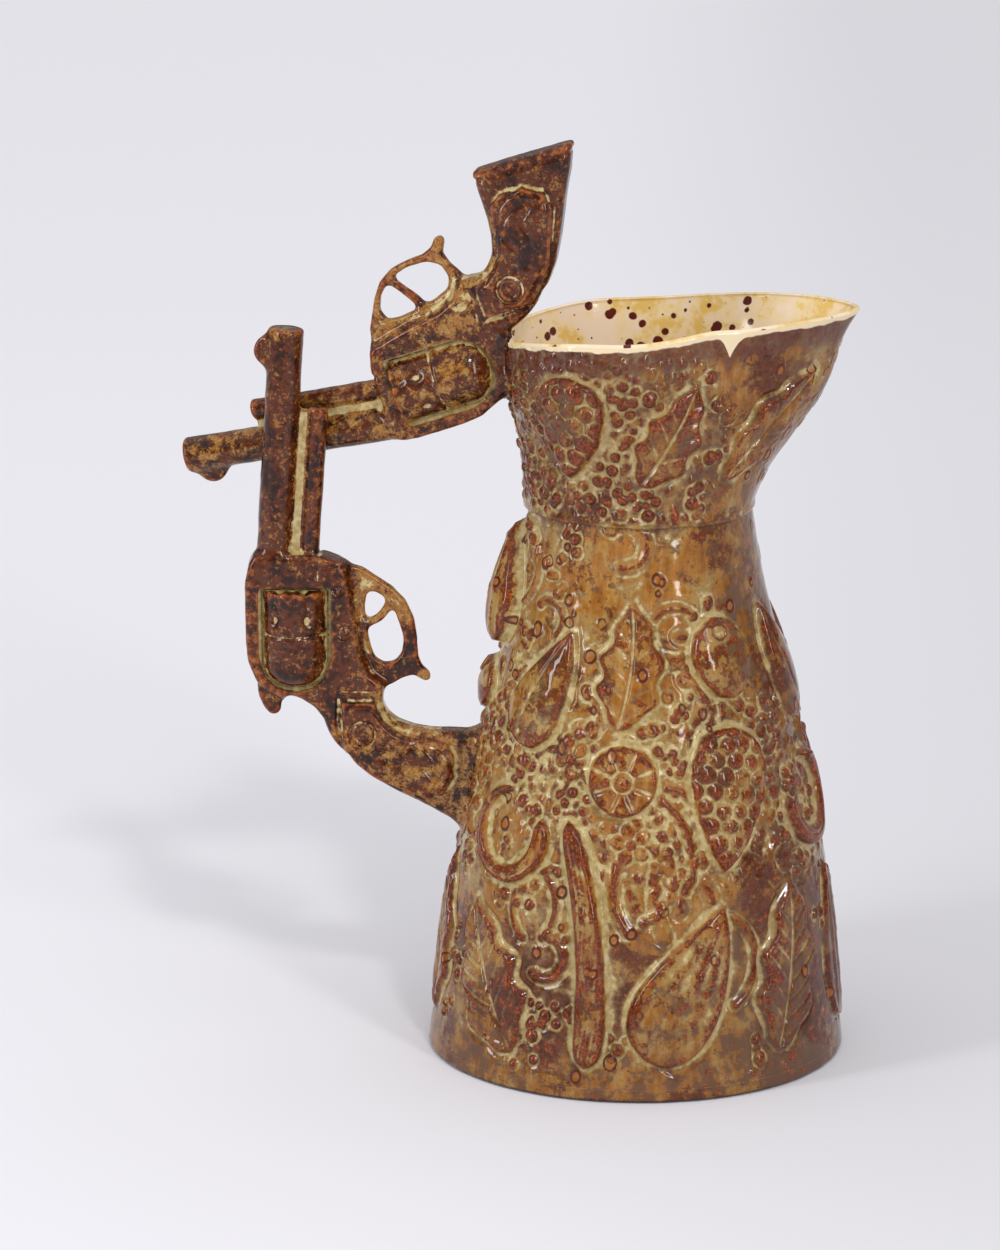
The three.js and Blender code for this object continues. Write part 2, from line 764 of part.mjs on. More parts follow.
// The cylinder's outline, larger all round for the window that it sits in
function cylinderProfile(grow) {
  const radius = CYLINDER_RADIUS + grow;
  const rear = CYLINDER_REAR - grow;
  const front = CYLINDER_FRONT + grow;
  const back = CYLINDER_BACK.map(([along, below]) => [rear + along, radius - below]);
  const groove = [
    [CYLINDER_GROOVE - GROOVE_HALF_WIDTH, radius],
    [CYLINDER_GROOVE - GROOVE_HALF_WIDTH / 2, radius - GROOVE_DEPTH],
    [CYLINDER_GROOVE + GROOVE_HALF_WIDTH / 2, radius - GROOVE_DEPTH],
    [CYLINDER_GROOVE + GROOVE_HALF_WIDTH, radius],
  ];
  return [
    [rear, 0],
    ...back,
    ...(grow === 0 ? groove : []),
    [front - CYLINDER_BEVEL, radius],
    [front, radius - CYLINDER_BEVEL],
    [front, 0],
  ];
}

function revolverCylinder() {
  let solid = turned(cylinderProfile(0), ROUND_SIDES);
  const notchFloor = CYLINDER_RADIUS - NOTCH_DEPTH;
  const notch = upright(NOTCH_RADIUS, OVERRUN, notchFloor, NOTCH_SIDES).translate([NOTCH_AT, 0, 0]);
  const fluteGeometry = new THREE.CylinderGeometry(FLUTE_RADIUS, FLUTE_RADIUS, FLUTE_LENGTH * 2, FLUTE_SIDES);
  fluteGeometry.rotateZ(Math.PI / 2);
  fluteGeometry.translate(CYLINDER_FRONT, 0, CYLINDER_RADIUS - FLUTE_DEPTH + FLUTE_RADIUS);
  const flute = solidFrom(fluteGeometry);
  for (let count = 0; count < NOTCH_COUNT; count += 1) {
    const angle = (count * 360) / NOTCH_COUNT;
    solid = solid.subtract(notch.rotate([angle + FIRST_NOTCH_DEGREES, 0, 0]));
    solid = solid.subtract(flute.rotate([angle + FIRST_FLUTE_DEGREES, 0, 0]));
  }
  return solid;
}

// The outlines of one cast, its nose shrunk and its butt as long as it came out
function castOutlines({ noseScale, buttReach, triggerLine }) {
  const shrunk = (outline) => outline.map(([x, y]) => [x > 0 ? x * noseScale : x, y]);
  const butt = [BUTT_BACK, BUTT_FRONT].map(([x, y]) => [x, y - buttReach]);
  return {
    frame: shrunk([...FRAME_BOTTOM, ...FRAME_TOP]),
    grip: [...GRIP_BACK, ...butt, ...GRIP_FRONT],
    guard: shrunk(GUARD_OUTER),
    opening: rounded(shrunk(GUARD_OPENING), OPENING_POINTS),
    triggerLine: shrunk(triggerLine),
  };
}

// Barrel, ejector tube with its web, and sight, drooping from the frame's front
function barrelPieces({ noseScale, barrelRoot, barrelDroop, barrelLength }, frameCutter) {
  const rootX = FRAME_FRONT * noseScale - BARREL_RADIUS;
  const length = barrelLength + BARREL_RADIUS;
  const placed = (solid) => solid.rotate([0, 0, -barrelDroop]).translate([rootX, barrelRoot, 0]);
  const barrelCutter = rod(length, BARREL_RADIUS + LUTING_GAP, MUZZLE_ROUNDING, ROUND_SIDES);

  const ejectorLength = length - EJECTOR_SHORTER;
  const webGeometry = new THREE.BoxGeometry(ejectorLength - 2 * MUZZLE_ROUNDING, EJECTOR_DROP, WEB_THICKNESS);
  webGeometry.translate(ejectorLength / 2, -EJECTOR_DROP / 2, 0);
  const tube = rod(ejectorLength, EJECTOR_RADIUS, MUZZLE_ROUNDING, SMALL_SIDES);
  const ejector = tube
    .translate([0, -EJECTOR_DROP, 0])
    .add(solidFrom(webGeometry))
    .subtract(barrelCutter);

  const sightX = length - SIGHT_FROM_MUZZLE;
  const sight = upright(SIGHT_RADIUS, SIGHT_THICKNESS, -SIGHT_THICKNESS / 2, ROUND_SIDES)
    .translate([sightX, BARREL_RADIUS - SIGHT_SINK, 0])
    .subtract(barrelCutter);
  const barrel = rod(length, BARREL_RADIUS, MUZZLE_ROUNDING, ROUND_SIDES);
  return [
    ["barrel", placed(barrel).subtract(frameCutter), GLAZES.umber],
    ["ejector_tube", placed(ejector).subtract(frameCutter), GLAZES.rust],
    ["front_sight", placed(sight), GLAZES.rust],
  ];
}

// Trigger guard, and the trigger that stands in its opening
function guardPieces(outlines, frameCutter, gripCutter) {
  const halfGuard = GUARD_THICKNESS / 2;
  const guard = plate(outlines.guard, -halfGuard, halfGuard, GUARD_ROUNDING, outlines.opening)
    .subtract(frameCutter)
    .subtract(gripCutter);

  const corners = outlines.triggerLine.map(([x, y]) => new THREE.Vector3(x, y, 0));
  const path = new THREE.CatmullRomCurve3(corners);
  const edge = (reach) =>
    steps(0, 1, TRIGGER_STEPS).map((share) => {
      const at = path.getPoint(share);
      const along = path.getTangent(share);
      return [at.x - along.y * reach, at.y + along.x * reach];
    });
  const triggerOutline = [...edge(TRIGGER_WIDTH / 2), ...edge(-TRIGGER_WIDTH / 2).reverse()];
  const halfTrigger = TRIGGER_THICKNESS / 2;
  const openingFill = plate(grown(outlines.opening, -LUTING_GAP), -halfTrigger, halfTrigger, 0);
  const trigger = plate(triggerOutline, -halfTrigger, halfTrigger, TRIGGER_ROUNDING).intersect(openingFill);
  return [
    ["trigger_guard", guard, GLAZES.tan],
    ["trigger", trigger, GLAZES.rust],
  ];
}

// The two grip panels and the ringed medallion let into each
function gripPieces(frameCutter, gripCutter) {
  const inner = GRIP_CORE_THICKNESS / 2 + LUTING_GAP;
  const surface = inner + PANEL_THICKNESS;
  const pocketFloor = surface - MEDALLION_SINK;
  const pocket = upright(MEDALLION_RADIUS + LUTING_GAP, MEDALLION_SINK + OVERRUN, pocketFloor, SMALL_SIDES);
  const panel = plate(PANEL, inner - PANEL_ROUNDING, surface, PANEL_ROUNDING)
    .subtract(gripCutter)
    .subtract(frameCutter)
    .subtract(pocket.translate([...MEDALLION_AT, 0]));

  const ringInside = MEDALLION_RADIUS - MEDALLION_EDGE - MEDALLION_RING / 2;
  const profile = [
    [0, 0],
    [0, MEDALLION_RADIUS],
    [MEDALLION_THICKNESS - MEDALLION_EDGE, MEDALLION_RADIUS],
    [MEDALLION_THICKNESS, MEDALLION_RADIUS - MEDALLION_EDGE],
    [MEDALLION_THICKNESS, ringInside],
    [MEDALLION_THICKNESS - MEDALLION_EDGE, ringInside - MEDALLION_EDGE],
    [MEDALLION_THICKNESS, 0],
  ];
  const medallion = turned(profile, SMALL_SIDES)
    .rotate([0, -90, 0])
    .translate([...MEDALLION_AT, pocketFloor + LUTING_GAP]);
  const otherSide = [0, 0, 1];
  return [
    ["near_grip_panel", panel, GLAZES.umber],
    ["near_medallion", medallion, GLAZES.cream],
    ["far_grip_panel", panel.mirror(otherSide), GLAZES.umber],
    ["far_medallion", medallion.mirror(otherSide), GLAZES.cream],
  ];
}

// One revolver cast as a list of [name, solid, colour], in its own side plane
function revolverPieces(revolver) {
  const outlines = castOutlines(revolver);
  const halfFrame = FRAME_THICKNESS / 2;
  const halfCore = GRIP_CORE_THICKNESS / 2;
  const cutterReach = halfCore + LUTING_GAP;
  const frameCutter = plate(grown(outlines.frame, LUTING_GAP), -halfFrame - OVERRUN, halfFrame + OVERRUN, 0);
  const gripCutter = plate(grown(outlines.grip, LUTING_GAP), -cutterReach, cutterReach, 0);

  const receiver = plate(outlines.frame, -halfFrame, halfFrame, FRAME_ROUNDING);
  const gripCore = plate(outlines.grip, -halfCore, halfCore, FRAME_ROUNDING);
  const window = turned(cylinderProfile(LUTING_GAP), ROUND_SIDES);
  const pieces = [
    ["frame", receiver.add(gripCore).subtract(window), GLAZES.umber],
    ["cylinder", revolverCylinder(), GLAZES.rust],
    ...barrelPieces(revolver, frameCutter),
    ...guardPieces(outlines, frameCutter, gripCutter),
    ...gripPieces(frameCutter, gripCutter),
  ];
  if (revolver.hasHammer) {
    const hammer = plate(HAMMER, -HAMMER_THICKNESS / 2, HAMMER_THICKNESS / 2, HAMMER_ROUNDING);
    pieces.push(["hammer", hammer.subtract(frameCutter), GLAZES.rust]);
  }
  return pieces.map(([name, solid, colour]) => [`${revolver.prefix}_${name}`, solid, colour]);
}

// Axes of a revolver on the jug: forward, up to the top strap, and its near side
function revolverAxes({ pointsDegrees, yawDegrees }) {
  const points = degrees(pointsDegrees);
  const yaw = degrees(yawDegrees);
  const level = new THREE.Vector3(Math.cos(points), 0, Math.sin(points));
  const up = new THREE.Vector3(-Math.sin(points), 0, Math.cos(points));
  const forward = level.multiplyScalar(Math.cos(yaw)).add(new THREE.Vector3(0, Math.sin(yaw), 0));
  return { forward, up, near: forward.clone().cross(up) };
}

function barrelLine(revolver, sideways) {
  const { forward, up } = revolverAxes(revolver);
  const droop = degrees(revolver.barrelDroop);
  const [x, z] = revolver.at;
  const root = new THREE.Vector3(x, sideways, z)
    .addScaledVector(forward, FRAME_FRONT * revolver.noseScale)
    .addScaledVector(up, revolver.barrelRoot);
  const along = forward.multiplyScalar(Math.cos(droop)).addScaledVector(up, -Math.sin(droop));
  return { root, along };
}

// How far back the upper revolver sits so that its barrel rests against the lower one's
function upperSideways() {
  const lower = barrelLine(LOWER_REVOLVER, 0);
  const upper = barrelLine(UPPER_REVOLVER, 0);
  const across = lower.along.clone().cross(upper.along).normalize();
  if (across.y < 0) across.negate();
  const apart = upper.root.clone().sub(lower.root).dot(across);
  return (2 * BARREL_RADIUS + LUTING_GAP - apart) / across.y;
}

// A revolver in its own turned group, cut to fit what it is luted to
function revolverGroup(revolver, sideways, cutter) {
  const { forward, up, near } = revolverAxes(revolver);
  const [x, z] = revolver.at;
  const placing = new THREE.Matrix4().makeBasis(forward, up, near).setPosition(x, sideways, z);
  const group = new THREE.Group();
  group.applyMatrix4(placing);
  const localCutter = cutter.transform(placing.clone().invert().elements);
  for (const [name, solid, colour] of revolverPieces(revolver)) {
    group.add(meshFrom(name, solid.subtract(localCutter), colour));
  }
  return group;
}

const jug = new THREE.Group();
jug.add(meshFrom("foot_slab", footSlab(), GLAZES.umber));
jug.add(meshFrom("body_wall", bodyWall(), GLAZES.ochre));
jug.add(meshFrom("pouring_collar", pouringCollar(), GLAZES.cream));
const bodySurface = { point: bodyPoint, radius: (turn, height) => bodyRadius(height) };
const collarSurface = { point: collarPoint, radius: (turn, height) => collarRadius(turn, height, 0) };
RELIEFS.forEach((row) => jug.add(relief(row, row[3] * NECK_HEIGHT, bodySurface)));
COLLAR_RELIEFS.forEach((row) => jug.add(relief(row, row[3] + NECK_HEIGHT, collarSurface)));
jug.add(revolverGroup(LOWER_REVOLVER, 0, bodyCutter()));
jug.add(revolverGroup(UPPER_REVOLVER, upperSideways(), collarCutter()));

export default jug;
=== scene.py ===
from math import ceil, cos, hypot, pi, radians, sin

import bpy
import numpy as np
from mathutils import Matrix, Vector


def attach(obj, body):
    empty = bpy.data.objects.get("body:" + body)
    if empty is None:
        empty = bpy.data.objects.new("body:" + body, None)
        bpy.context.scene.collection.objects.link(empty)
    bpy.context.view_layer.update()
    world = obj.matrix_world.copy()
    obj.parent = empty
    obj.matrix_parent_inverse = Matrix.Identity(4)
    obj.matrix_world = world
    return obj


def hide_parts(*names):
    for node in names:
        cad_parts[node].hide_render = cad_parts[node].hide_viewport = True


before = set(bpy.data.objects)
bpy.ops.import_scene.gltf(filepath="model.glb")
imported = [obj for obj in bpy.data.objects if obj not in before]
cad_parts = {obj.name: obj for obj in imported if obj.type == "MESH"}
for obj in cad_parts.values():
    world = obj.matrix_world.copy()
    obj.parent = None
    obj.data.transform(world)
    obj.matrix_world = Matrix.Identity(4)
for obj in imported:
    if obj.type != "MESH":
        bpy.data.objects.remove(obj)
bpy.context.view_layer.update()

# A glazed stoneware jug. Lengths are in millimetres until a mesh is made, and angles round the jug
# are turns: 0 at the front (-Y), a quarter turn at the spout (+X).
MM = 0.001

# Wall, as in the frame's solids
LUTING_GAP = 0.3
FOOT_RADIUS = 92.8
FOOT_DEPTH_RADIUS = 85.0
FOOT_THICKNESS = 6.0
NECK_RADIUS = 48.3
NECK_HEIGHT = 252.0
WALL_THICKNESS = 6.0
WALL_START = FOOT_THICKNESS + 0.03
BODY_LEAN = 2.0
BODY_SHAPE = [(0, 1), (0.16, 0.872), (0.35, 0.744), (0.53, 0.547), (0.71, 0.314), (0.81, 0.163)]
BODY_SHAPE += [(0.88, 0.081), (0.95, 0.03), (1, 0)]

# Collar: rim knots are turn in degrees, distance from the axis, height above the neck's edge
COLLAR_LAP = 5.0
COLLAR_LAP_THICKNESS = 1.9
LIP_THICKNESS = 2.8
LIP_ROUNDING = 1.1
COLLAR_FOOT = NECK_HEIGHT - COLLAR_LAP
RIM = [(0, 56.5, 76.5), (30, 57.8, 80.4), (44, 63.7, 80.8), (62, 73.4, 81.6), (78, 85, 81.2)]
RIM += [(90, 95, 81.7), (106, 83.2, 81.5), (126, 71, 79.5), (148, 61.5, 77), (172, 57.5, 74.8)]
RIM += [(204, 59, 73.6), (230, 60, 71.2), (262, 60, 69.8), (282, 59.5, 69.8), (304, 58.8, 72.3)]
RIM += [(330, 59.5, 75.6)]
SPOUT_FLARE = [(0, 0), (0.05, 0.01), (0.2, 0.15), (0.32, 0.31), (0.52, 0.575), (0.66, 0.72)]
SPOUT_FLARE += [(0.85, 0.84), (1, 1)]
HANDLE_FLARE = [(0, 0), (0.24, 0), (0.37, 0.1), (0.6, 0.58), (0.77, 0.84), (1, 1)]

# Reliefs: name, kind, turn in degrees, height of the middle (a share of the neck's height on the
# wall, millimetres above the neck on the collar), heading and length of the spine, half width,
# bend of the spine, and in some a swell that isn't their kind's own
WALL_RELIEFS = [
    ("front_gourd", "gourd", 12, 0.206, 62, 74, 20, 14),
    ("front_trunk", "branch", -20, 0.27, 98, 108, 8, 24),
    ("front_leaf", "leaf", -49, 0.19, 118, 70, 19, -20),
    ("right_leaf", "leaf", 46, 0.214, 80, 76, 18, 22),
    ("spout_gourd", "gourd", 80, 0.206, 96, 74, 18, 14, 2.2),
    ("handle_leaf", "leaf", -84, 0.218, 92, 74, 14, 14, 3.4),
    ("front_grapes", "cluster", 29, 0.516, -100, 62, 19, 0),
    ("front_rosette", "rosette", -8, 0.556, 90, 31, 15.5, 0),
    ("left_scroll", "scroll", -49, 0.444, 150, 92, 5.5, -290),
    ("right_scroll", "scroll", 70, 0.484, 40, 88, 5.5, 280, 3.6),
    ("upper_pear", "pear", -44, 0.698, 66, 54, 15, 16),
    ("upper_leaf", "leaf", -8, 0.746, 84, 54, 14, 24),
    ("upper_fruit", "fruit", 34, 0.754, 100, 36, 15, 0),
    ("spout_pear", "pear", 74, 0.722, 108, 54, 15, -14),
    ("handle_gourd", "gourd", -90, 0.841, 94, 55, 16, 8, 11.4),
    ("handle_fruit", "fruit", -90, 0.661, 90, 25, 15, 0, 6),
    ("back_leaf", "leaf", 120, 0.214, 96, 76, 18, -18),
    ("back_gourd", "gourd", 158, 0.206, 78, 74, 20, 12),
    ("back_trunk", "branch", -168, 0.278, 82, 112, 8, -24),
    ("back_side_leaf", "leaf", -132, 0.198, 70, 72, 19, 20),
    ("back_scroll", "scroll", 112, 0.492, 150, 88, 5.5, -280),
    ("back_grapes", "cluster", 150, 0.524, -82, 62, 19, 0),
    ("back_side_scroll", "scroll", -136, 0.484, 40, 92, 5.5, 290),
    ("back_upper_pear", "pear", 112, 0.746, 74, 52, 14, 12),
    ("back_upper_leaf", "leaf", 158, 0.762, 96, 52, 14, -20),
    ("back_upper_fruit", "fruit", -154, 0.762, 84, 36, 15, 0),
]
COLLAR_RELIEFS = [
    ("collar_grapes", "cluster", -34, 38, -95, 46, 17, 0),
    ("collar_leaf", "leaf", 12, 36, 62, 50, 13, 16),
    ("collar_spray", "leaf", 62, 36, 50, 58, 12, -14),
    ("collar_back_leaf", "leaf", 118, 34, 118, 54, 13, 16),
    ("collar_back_grapes", "cluster", 172, 34, -85, 46, 17, 0),
]
SWELLS = {"gourd": 4.6, "pear": 4.4, "fruit": 4.6, "leaf": 2.4, "cluster": 3.6, "rosette": 2.8}
SWELLS |= {"branch": 3.4, "scroll": 2.8}
# Outlines of the kinds that swell along the spine: size, where they are widest, bluntness and taper
OUTLINES = {"gourd": (1.1, 0.72, 0.62, 0.3), "pear": (1.12, 0.66, 0.6, 0.34), "fruit": (1, 1, 0.5, 0)}
OUTLINES |= {"leaf": (0.95, 0.8, 0.75, 0), "cluster": (1, 0.62, 0.66, 0)}
RELIEF_EDGE = 1.1
BLUNT_END = 1.2
# How deep the wall lies under a relief, how far above it the relief's underside is, and how far
# the relief's top is lifted over the wall's outer surface
SUNK_UNDER_RELIEF = 0.9
UNDERSIDE_GAP = 0.35
HAIR = 0.04
# Rounded girths and height, for the spacing of the grids' points
WALL_GIRTH = 450
COLLAR_GIRTH = 380
COLLAR_RISE = 82
# Marks of points far outside every relief, far from the lip, off every dot, or not to be built on
FAR_OUTSIDE = -99.0
FAR_FROM_LIP = 60.0
NO_DOT = 9.0
TAKEN = 9
SPINE_STEPS = 80
# Wide dark patches: turn in degrees, height, half width in degrees and half height in millimetres
WALL_SCORCHES = [(-34, 42, 13, 36), (24, 150, 12, 22), (66, 30, 16, 22), (140, 60, 16, 40)]
WALL_SCORCHES += [(-110, 70, 14, 30)]
COLLAR_SCORCHES = [(100, 300, 18, 22), (-150, 296, 20, 20)]


# Curves and noise
def through(knots, places, column=1, period=0.0):
    """Values at places on the smooth curve through the knots, closed on itself with a period."""
    x, y = (np.array([knot[part] for knot in knots], float) for part in (0, column))
    places = np.asarray(places, float)
    if period:
        x = np.concatenate([x[-2:] - period, x, x[:3] + period])
        y = np.concatenate([y[-2:], y, y[:3]])
        places = np.mod(places, period)
    number = np.arange(len(x))
    before, after = np.maximum(number - 1, 0), np.minimum(number + 1, len(x) - 1)
    slope = (y[after] - y[before]) / (x[after] - x[before])
    index = np.clip(np.searchsorted(x, places, side="right") - 1, 0, len(x) - 2)
    span = x[index + 1] - x[index]
    share = (places - x[index]) / span
    square, cube = share**2, share**3
    return (
        (2 * cube - 3 * square + 1) * y[index]
        + (cube - 2 * square + share) * slope[index] * span
        + (3 * square - 2 * cube) * y[index + 1]
        + (cube - square) * slope[index + 1] * span
    )


def smoothstep(low, high, values):
    share = np.clip((values - low) / (high - low), 0, 1)
    return share * share * (3 - 2 * share)


def bell(values, width):
    return np.exp(-((values / width) ** 2))


def bulge(values):
    """A round hump over values from -1 to 1."""
    return np.sqrt(np.clip(1 - values**2, 0, 1))


def wrapped(angles):
    """Angles brought to within half a turn of nought."""
    return np.mod(angles + pi, 2 * pi) - pi


def scattered(cells, seed):
    """A repeatable random number from 0 to 1 for each whole-number cell (last axis x, y, z)."""
    mixed = (cells * np.array([374761393, 668265263, 1103515245])).sum(-1) + seed * 974634777
    mixed = (mixed ^ (mixed >> 13)) * 1274126177
    mixed = (mixed ^ (mixed >> 16)) & 0xFFFFFF
    return mixed / 0xFFFFFF


def noise(points, size, seed, octaves=1):
    """Smooth noise from -1 to 1, with lumps about size across."""
    total, weights = np.zeros(points.shape[:-1]), 0.0
    for octave in range(octaves):
        weight = 0.5**octave
        scaled = points / (size * weight)
        cell = np.floor(scaled).astype(np.int64)
        share = scaled - cell
        share = share * share * (3 - 2 * share)
        value = np.zeros(points.shape[:-1])
        for corner in np.ndindex(2, 2, 2):
            part = np.prod(np.where(corner, share, 1 - share), -1)
            value += part * scattered(cell + np.array(corner), seed + 31 * octave)
        total += weight * (2 * value - 1)
        weights += weight
    return total / weights


def pebbles(points, size, seed):
    """Distance to the nearest of many scattered points about size apart, as a share of size."""
    scaled = points / size
    cell = np.floor(scaled).astype(np.int64)
    beyond_any = 9.0
    nearest = np.full(points.shape[:-1], beyond_any)
    for offset in np.ndindex(3, 3, 3):
        neighbour = cell + np.array(offset) - 1
        away = 0.0
        for axis in range(3):
            place = neighbour[..., axis] + scattered(neighbour, seed + 7 * axis)
            away = away + (place - scaled[..., axis]) ** 2
        nearest = np.minimum(nearest, away)
    return np.sqrt(nearest)


def blurred(field, rows, columns):
    """A field on a grid that closes on itself along its columns, blurred by that many cells."""
    margin = int(4 * rows) + 2
    padded = np.pad(field, ((margin, margin), (0, 0)), mode="edge")
    down = np.fft.fftfreq(padded.shape[0])[:, None]
    along = np.fft.rfftfreq(padded.shape[1])[None, :]
    keep = np.exp(-2 * pi**2 * ((down * rows) ** 2 + (along * columns) ** 2))
    return np.fft.irfft2(np.fft.rfft2(padded) * keep, s=padded.shape)[margin:-margin]


def smoothed(field, cells, reach=12):
    """A flat or solid distance field blurred by that many cells, which rounds its corners."""
    kernel = np.exp(-0.5 * (np.arange(-reach, reach + 1) / cells) ** 2)
    kernel = (kernel / kernel.sum()).astype(field.dtype)
    for axis, count in enumerate(field.shape):
        margins = [(reach, reach) if other == axis else (0, 0) for other in range(field.ndim)]
        padded = np.moveaxis(np.pad(field, margins, mode="edge"), axis, 0)
        total = sum(weight * padded[k : k + count] for k, weight in enumerate(kernel))
        field = np.moveaxis(total, 0, axis)
    return field


# Surfaces of the wall and the collar
def turn_row(columns):
    return np.linspace(0, 2 * pi, columns, endpoint=False)[None, :]


def wall_radius(turns, heights, widest=FOOT_RADIUS):
    return NECK_RADIUS + (widest - NECK_RADIUS) * through(BODY_SHAPE, heights / NECK_HEIGHT)


def wall_point(turns, heights, lift):
    across = wall_radius(turns, heights) + lift
    deep = wall_radius(turns, heights, FOOT_DEPTH_RADIUS) + lift
    middle = BODY_LEAN * np.sin(pi * heights / NECK_HEIGHT)
    return np.stack([middle + across * np.sin(turns), -deep * np.cos(turns), heights + 0 * turns], -1)


def rim_radius(turns):
    return through(RIM, np.degrees(turns), 1, 360)


def rim_height(turns):
    return NECK_HEIGHT + through(RIM, np.degrees(turns), 2, 360)


def collar_flare(turns, rise):
    at_spout = (1 + np.sin(turns)) / 2
    at_handle = through(HANDLE_FLARE, rise)
    return at_handle + (through(SPOUT_FLARE, rise) - at_handle) * at_spout


def collar_radius(turns, heights):
    rise = (heights - COLLAR_FOOT) / (rim_height(turns) - COLLAR_FOOT)
    foot = NECK_RADIUS + LUTING_GAP + COLLAR_LAP_THICKNESS
    return foot + (rim_radius(turns) - foot) * collar_flare(turns, rise)


def around(turns, radius, heights):
    turns, radius, heights = np.broadcast_arrays(turns, radius, heights)
    return np.stack([radius * np.sin(turns), -radius * np.cos(turns), heights], -1)


def from_axis(points):
    """Turn and distance from the jug's axis."""
    return np.arctan2(points[..., 0], -points[..., 1]), np.hypot(points[..., 0], points[..., 1])


# Reliefs
def half_width(kind, t):
    """Half width along the spine, as a share of the relief's own."""
    t = np.clip(t, 0, 1)
    if kind == "rosette":
        return 2 * np.sqrt(t * (1 - t))
    if kind in ("branch", "scroll"):
        taper = 0.3 if kind == "branch" else 0.45
        return (1 - taper * t) * np.sqrt(1 - np.abs(2 * t - 1) ** 10)
    size, widest, bluntness, taper = OUTLINES[kind]
    width = size * np.maximum(np.sin(pi * t**widest), 0) ** bluntness * (1 - taper * t)
    return width * (1 + 0.13 * np.cos(7 * pi * t + 0.4)) if kind == "leaf" else width


def swell(kind, c, t):
    """Swell at a share of the width and of the length, from 0 at the edge to about 1."""
    c, t = np.clip(c, -1, 1), np.clip(t, 0, 1)
    dome = bulge(c)
    full = np.sqrt(np.clip(np.sin(pi * t**0.8), 0, 1))
    even = np.sqrt(np.sin(pi * t))
    shapes = {
        "gourd": dome * full,
        "pear": dome * full,
        "fruit": dome * even,
        "leaf": dome**0.8 * even * (0.55 + 0.9 * np.abs(c)),
        "cluster": 0.8 * dome**0.7 * full**0.6,
        "rosette": 0.5 * dome**0.5,
    }
    return shapes.get(kind, dome)


def grape_bumps(along, side, size):
    """Round bumps packed in uneven rows, as a share of their own height."""
    tallest = np.zeros(along.shape)
    middle_row = np.round(along / (size * 0.85)).astype(int)
    for row in (middle_row - 1, middle_row, middle_row + 1):
        shift = np.where(np.mod(row, 2) == 0, 0, size / 2)
        column = np.round((side - shift) / size).astype(int)
        cell = np.stack([row, column, 0 * row], -1)
        x = (row + 0.34 * (scattered(cell, 3) - 0.5)) * size * 0.85
        y = shift + (column + 0.3 * (scattered(cell, 4) - 0.5)) * size
        reach = size * (0.5 + 0.14 * scattered(cell, 5))
        tallest = np.maximum(tallest, bulge(np.hypot(along - x, side - y) / reach))
    return tallest


def carving(kind, along, side, t, c, length, reach):
    """Fine detail on a relief, in millimetres: veins, ribs, grapes, petals and bark."""

    def spot(place, across, width):
        return bell(np.hypot(along - place, side - across), width)

    if kind == "leaf":
        veins = -0.55 * bell(np.mod(along - 0.9 * np.abs(side), 8.5) - 4.2, 0.9)
        return -0.9 * bell(side, 0.9) + veins * smoothstep(0.5, 2.5, np.abs(side))
    if kind == "gourd":
        ribs = 0.3 * (np.cos(5 * pi * c) - 1) * smoothstep(0, 0.2, t) * smoothstep(1, 0.7, t)
        return ribs + 0.7 * bell(t - 0.88, 0.03)
    if kind == "pear":
        crease = -0.5 * bell(side - 3 * np.sin(pi * t), 0.9)
        return -1.1 * spot(5.5, 0, 2.2) + crease * smoothstep(0.1, 0.3, t)
    if kind == "fruit":
        crown = 1.2 * bell(np.hypot(along - length * 0.84, side) - 3.2, 1.0)
        return crown + -0.5 * bell(side + 0.05 * along, 0.9) * smoothstep(0.95, 0.6, t)
    if kind == "cluster":
        return 2.7 * grape_bumps(along, side, 8.2) - 1.0
    if kind == "rosette":
        x, y = along - length / 2, side
        away, angle = np.hypot(x, y), np.arctan2(y, x)
        petals = np.abs(np.cos(4 * angle)) ** 0.6 * smoothstep(4.4, 6.2, away)
        stamens = -0.5 * bell(np.mod(away, 3.0) - 1.5, 0.6) * (away < 4.5)
        return 1.7 * petals + 1.9 * bulge(away / 4.6) + stamens - 0.4
    if kind == "branch":
        bark = 0.42 * np.sin(1.9 * side + 2.2 * np.sin(along / 9.0)) * np.sin(along / 4.3 + side)
        return bark + 1.3 * spot(0.62 * length, -1.5, 3.4) + -1.6 * spot(0.62 * length, -1.5, 1.3)
    return -0.5 * bell(side - 0.2 * reach, 0.7) + 1.6 * spot(0.95 * length, 0, 3.6)


def spine_place(across, up, heading, bend, length):
    """Place along the spine and distance to its left, for points on the flat."""
    start, turned = radians(heading - bend / 2), radians(bend)
    angles = start + turned * (np.linspace(0, 1, SPINE_STEPS + 1)[:-1] + 0.5 / SPINE_STEPS)
    path = np.cumsum(np.stack([np.cos(angles), np.sin(angles)], -1) * length / SPINE_STEPS, 0)
    path = np.vstack([[0, 0], path])
    middle = (path.min(0) + path.max(0)) / 2
    x, y = across + middle[0], up + middle[1]
    if abs(bend) < 1:
        return x * cos(start) + y * sin(start), y * cos(start) - x * sin(start)
    radius = length / turned
    x, y = x + radius * sin(start), y - radius * cos(start)
    sign = 1 if radius > 0 else -1
    middle_angle = start + turned / 2
    angle = middle_angle + wrapped(np.arctan2(sign * x, -sign * y) - middle_angle)
    return (angle - start) / turned * length, sign * (abs(radius) - np.hypot(x, y))


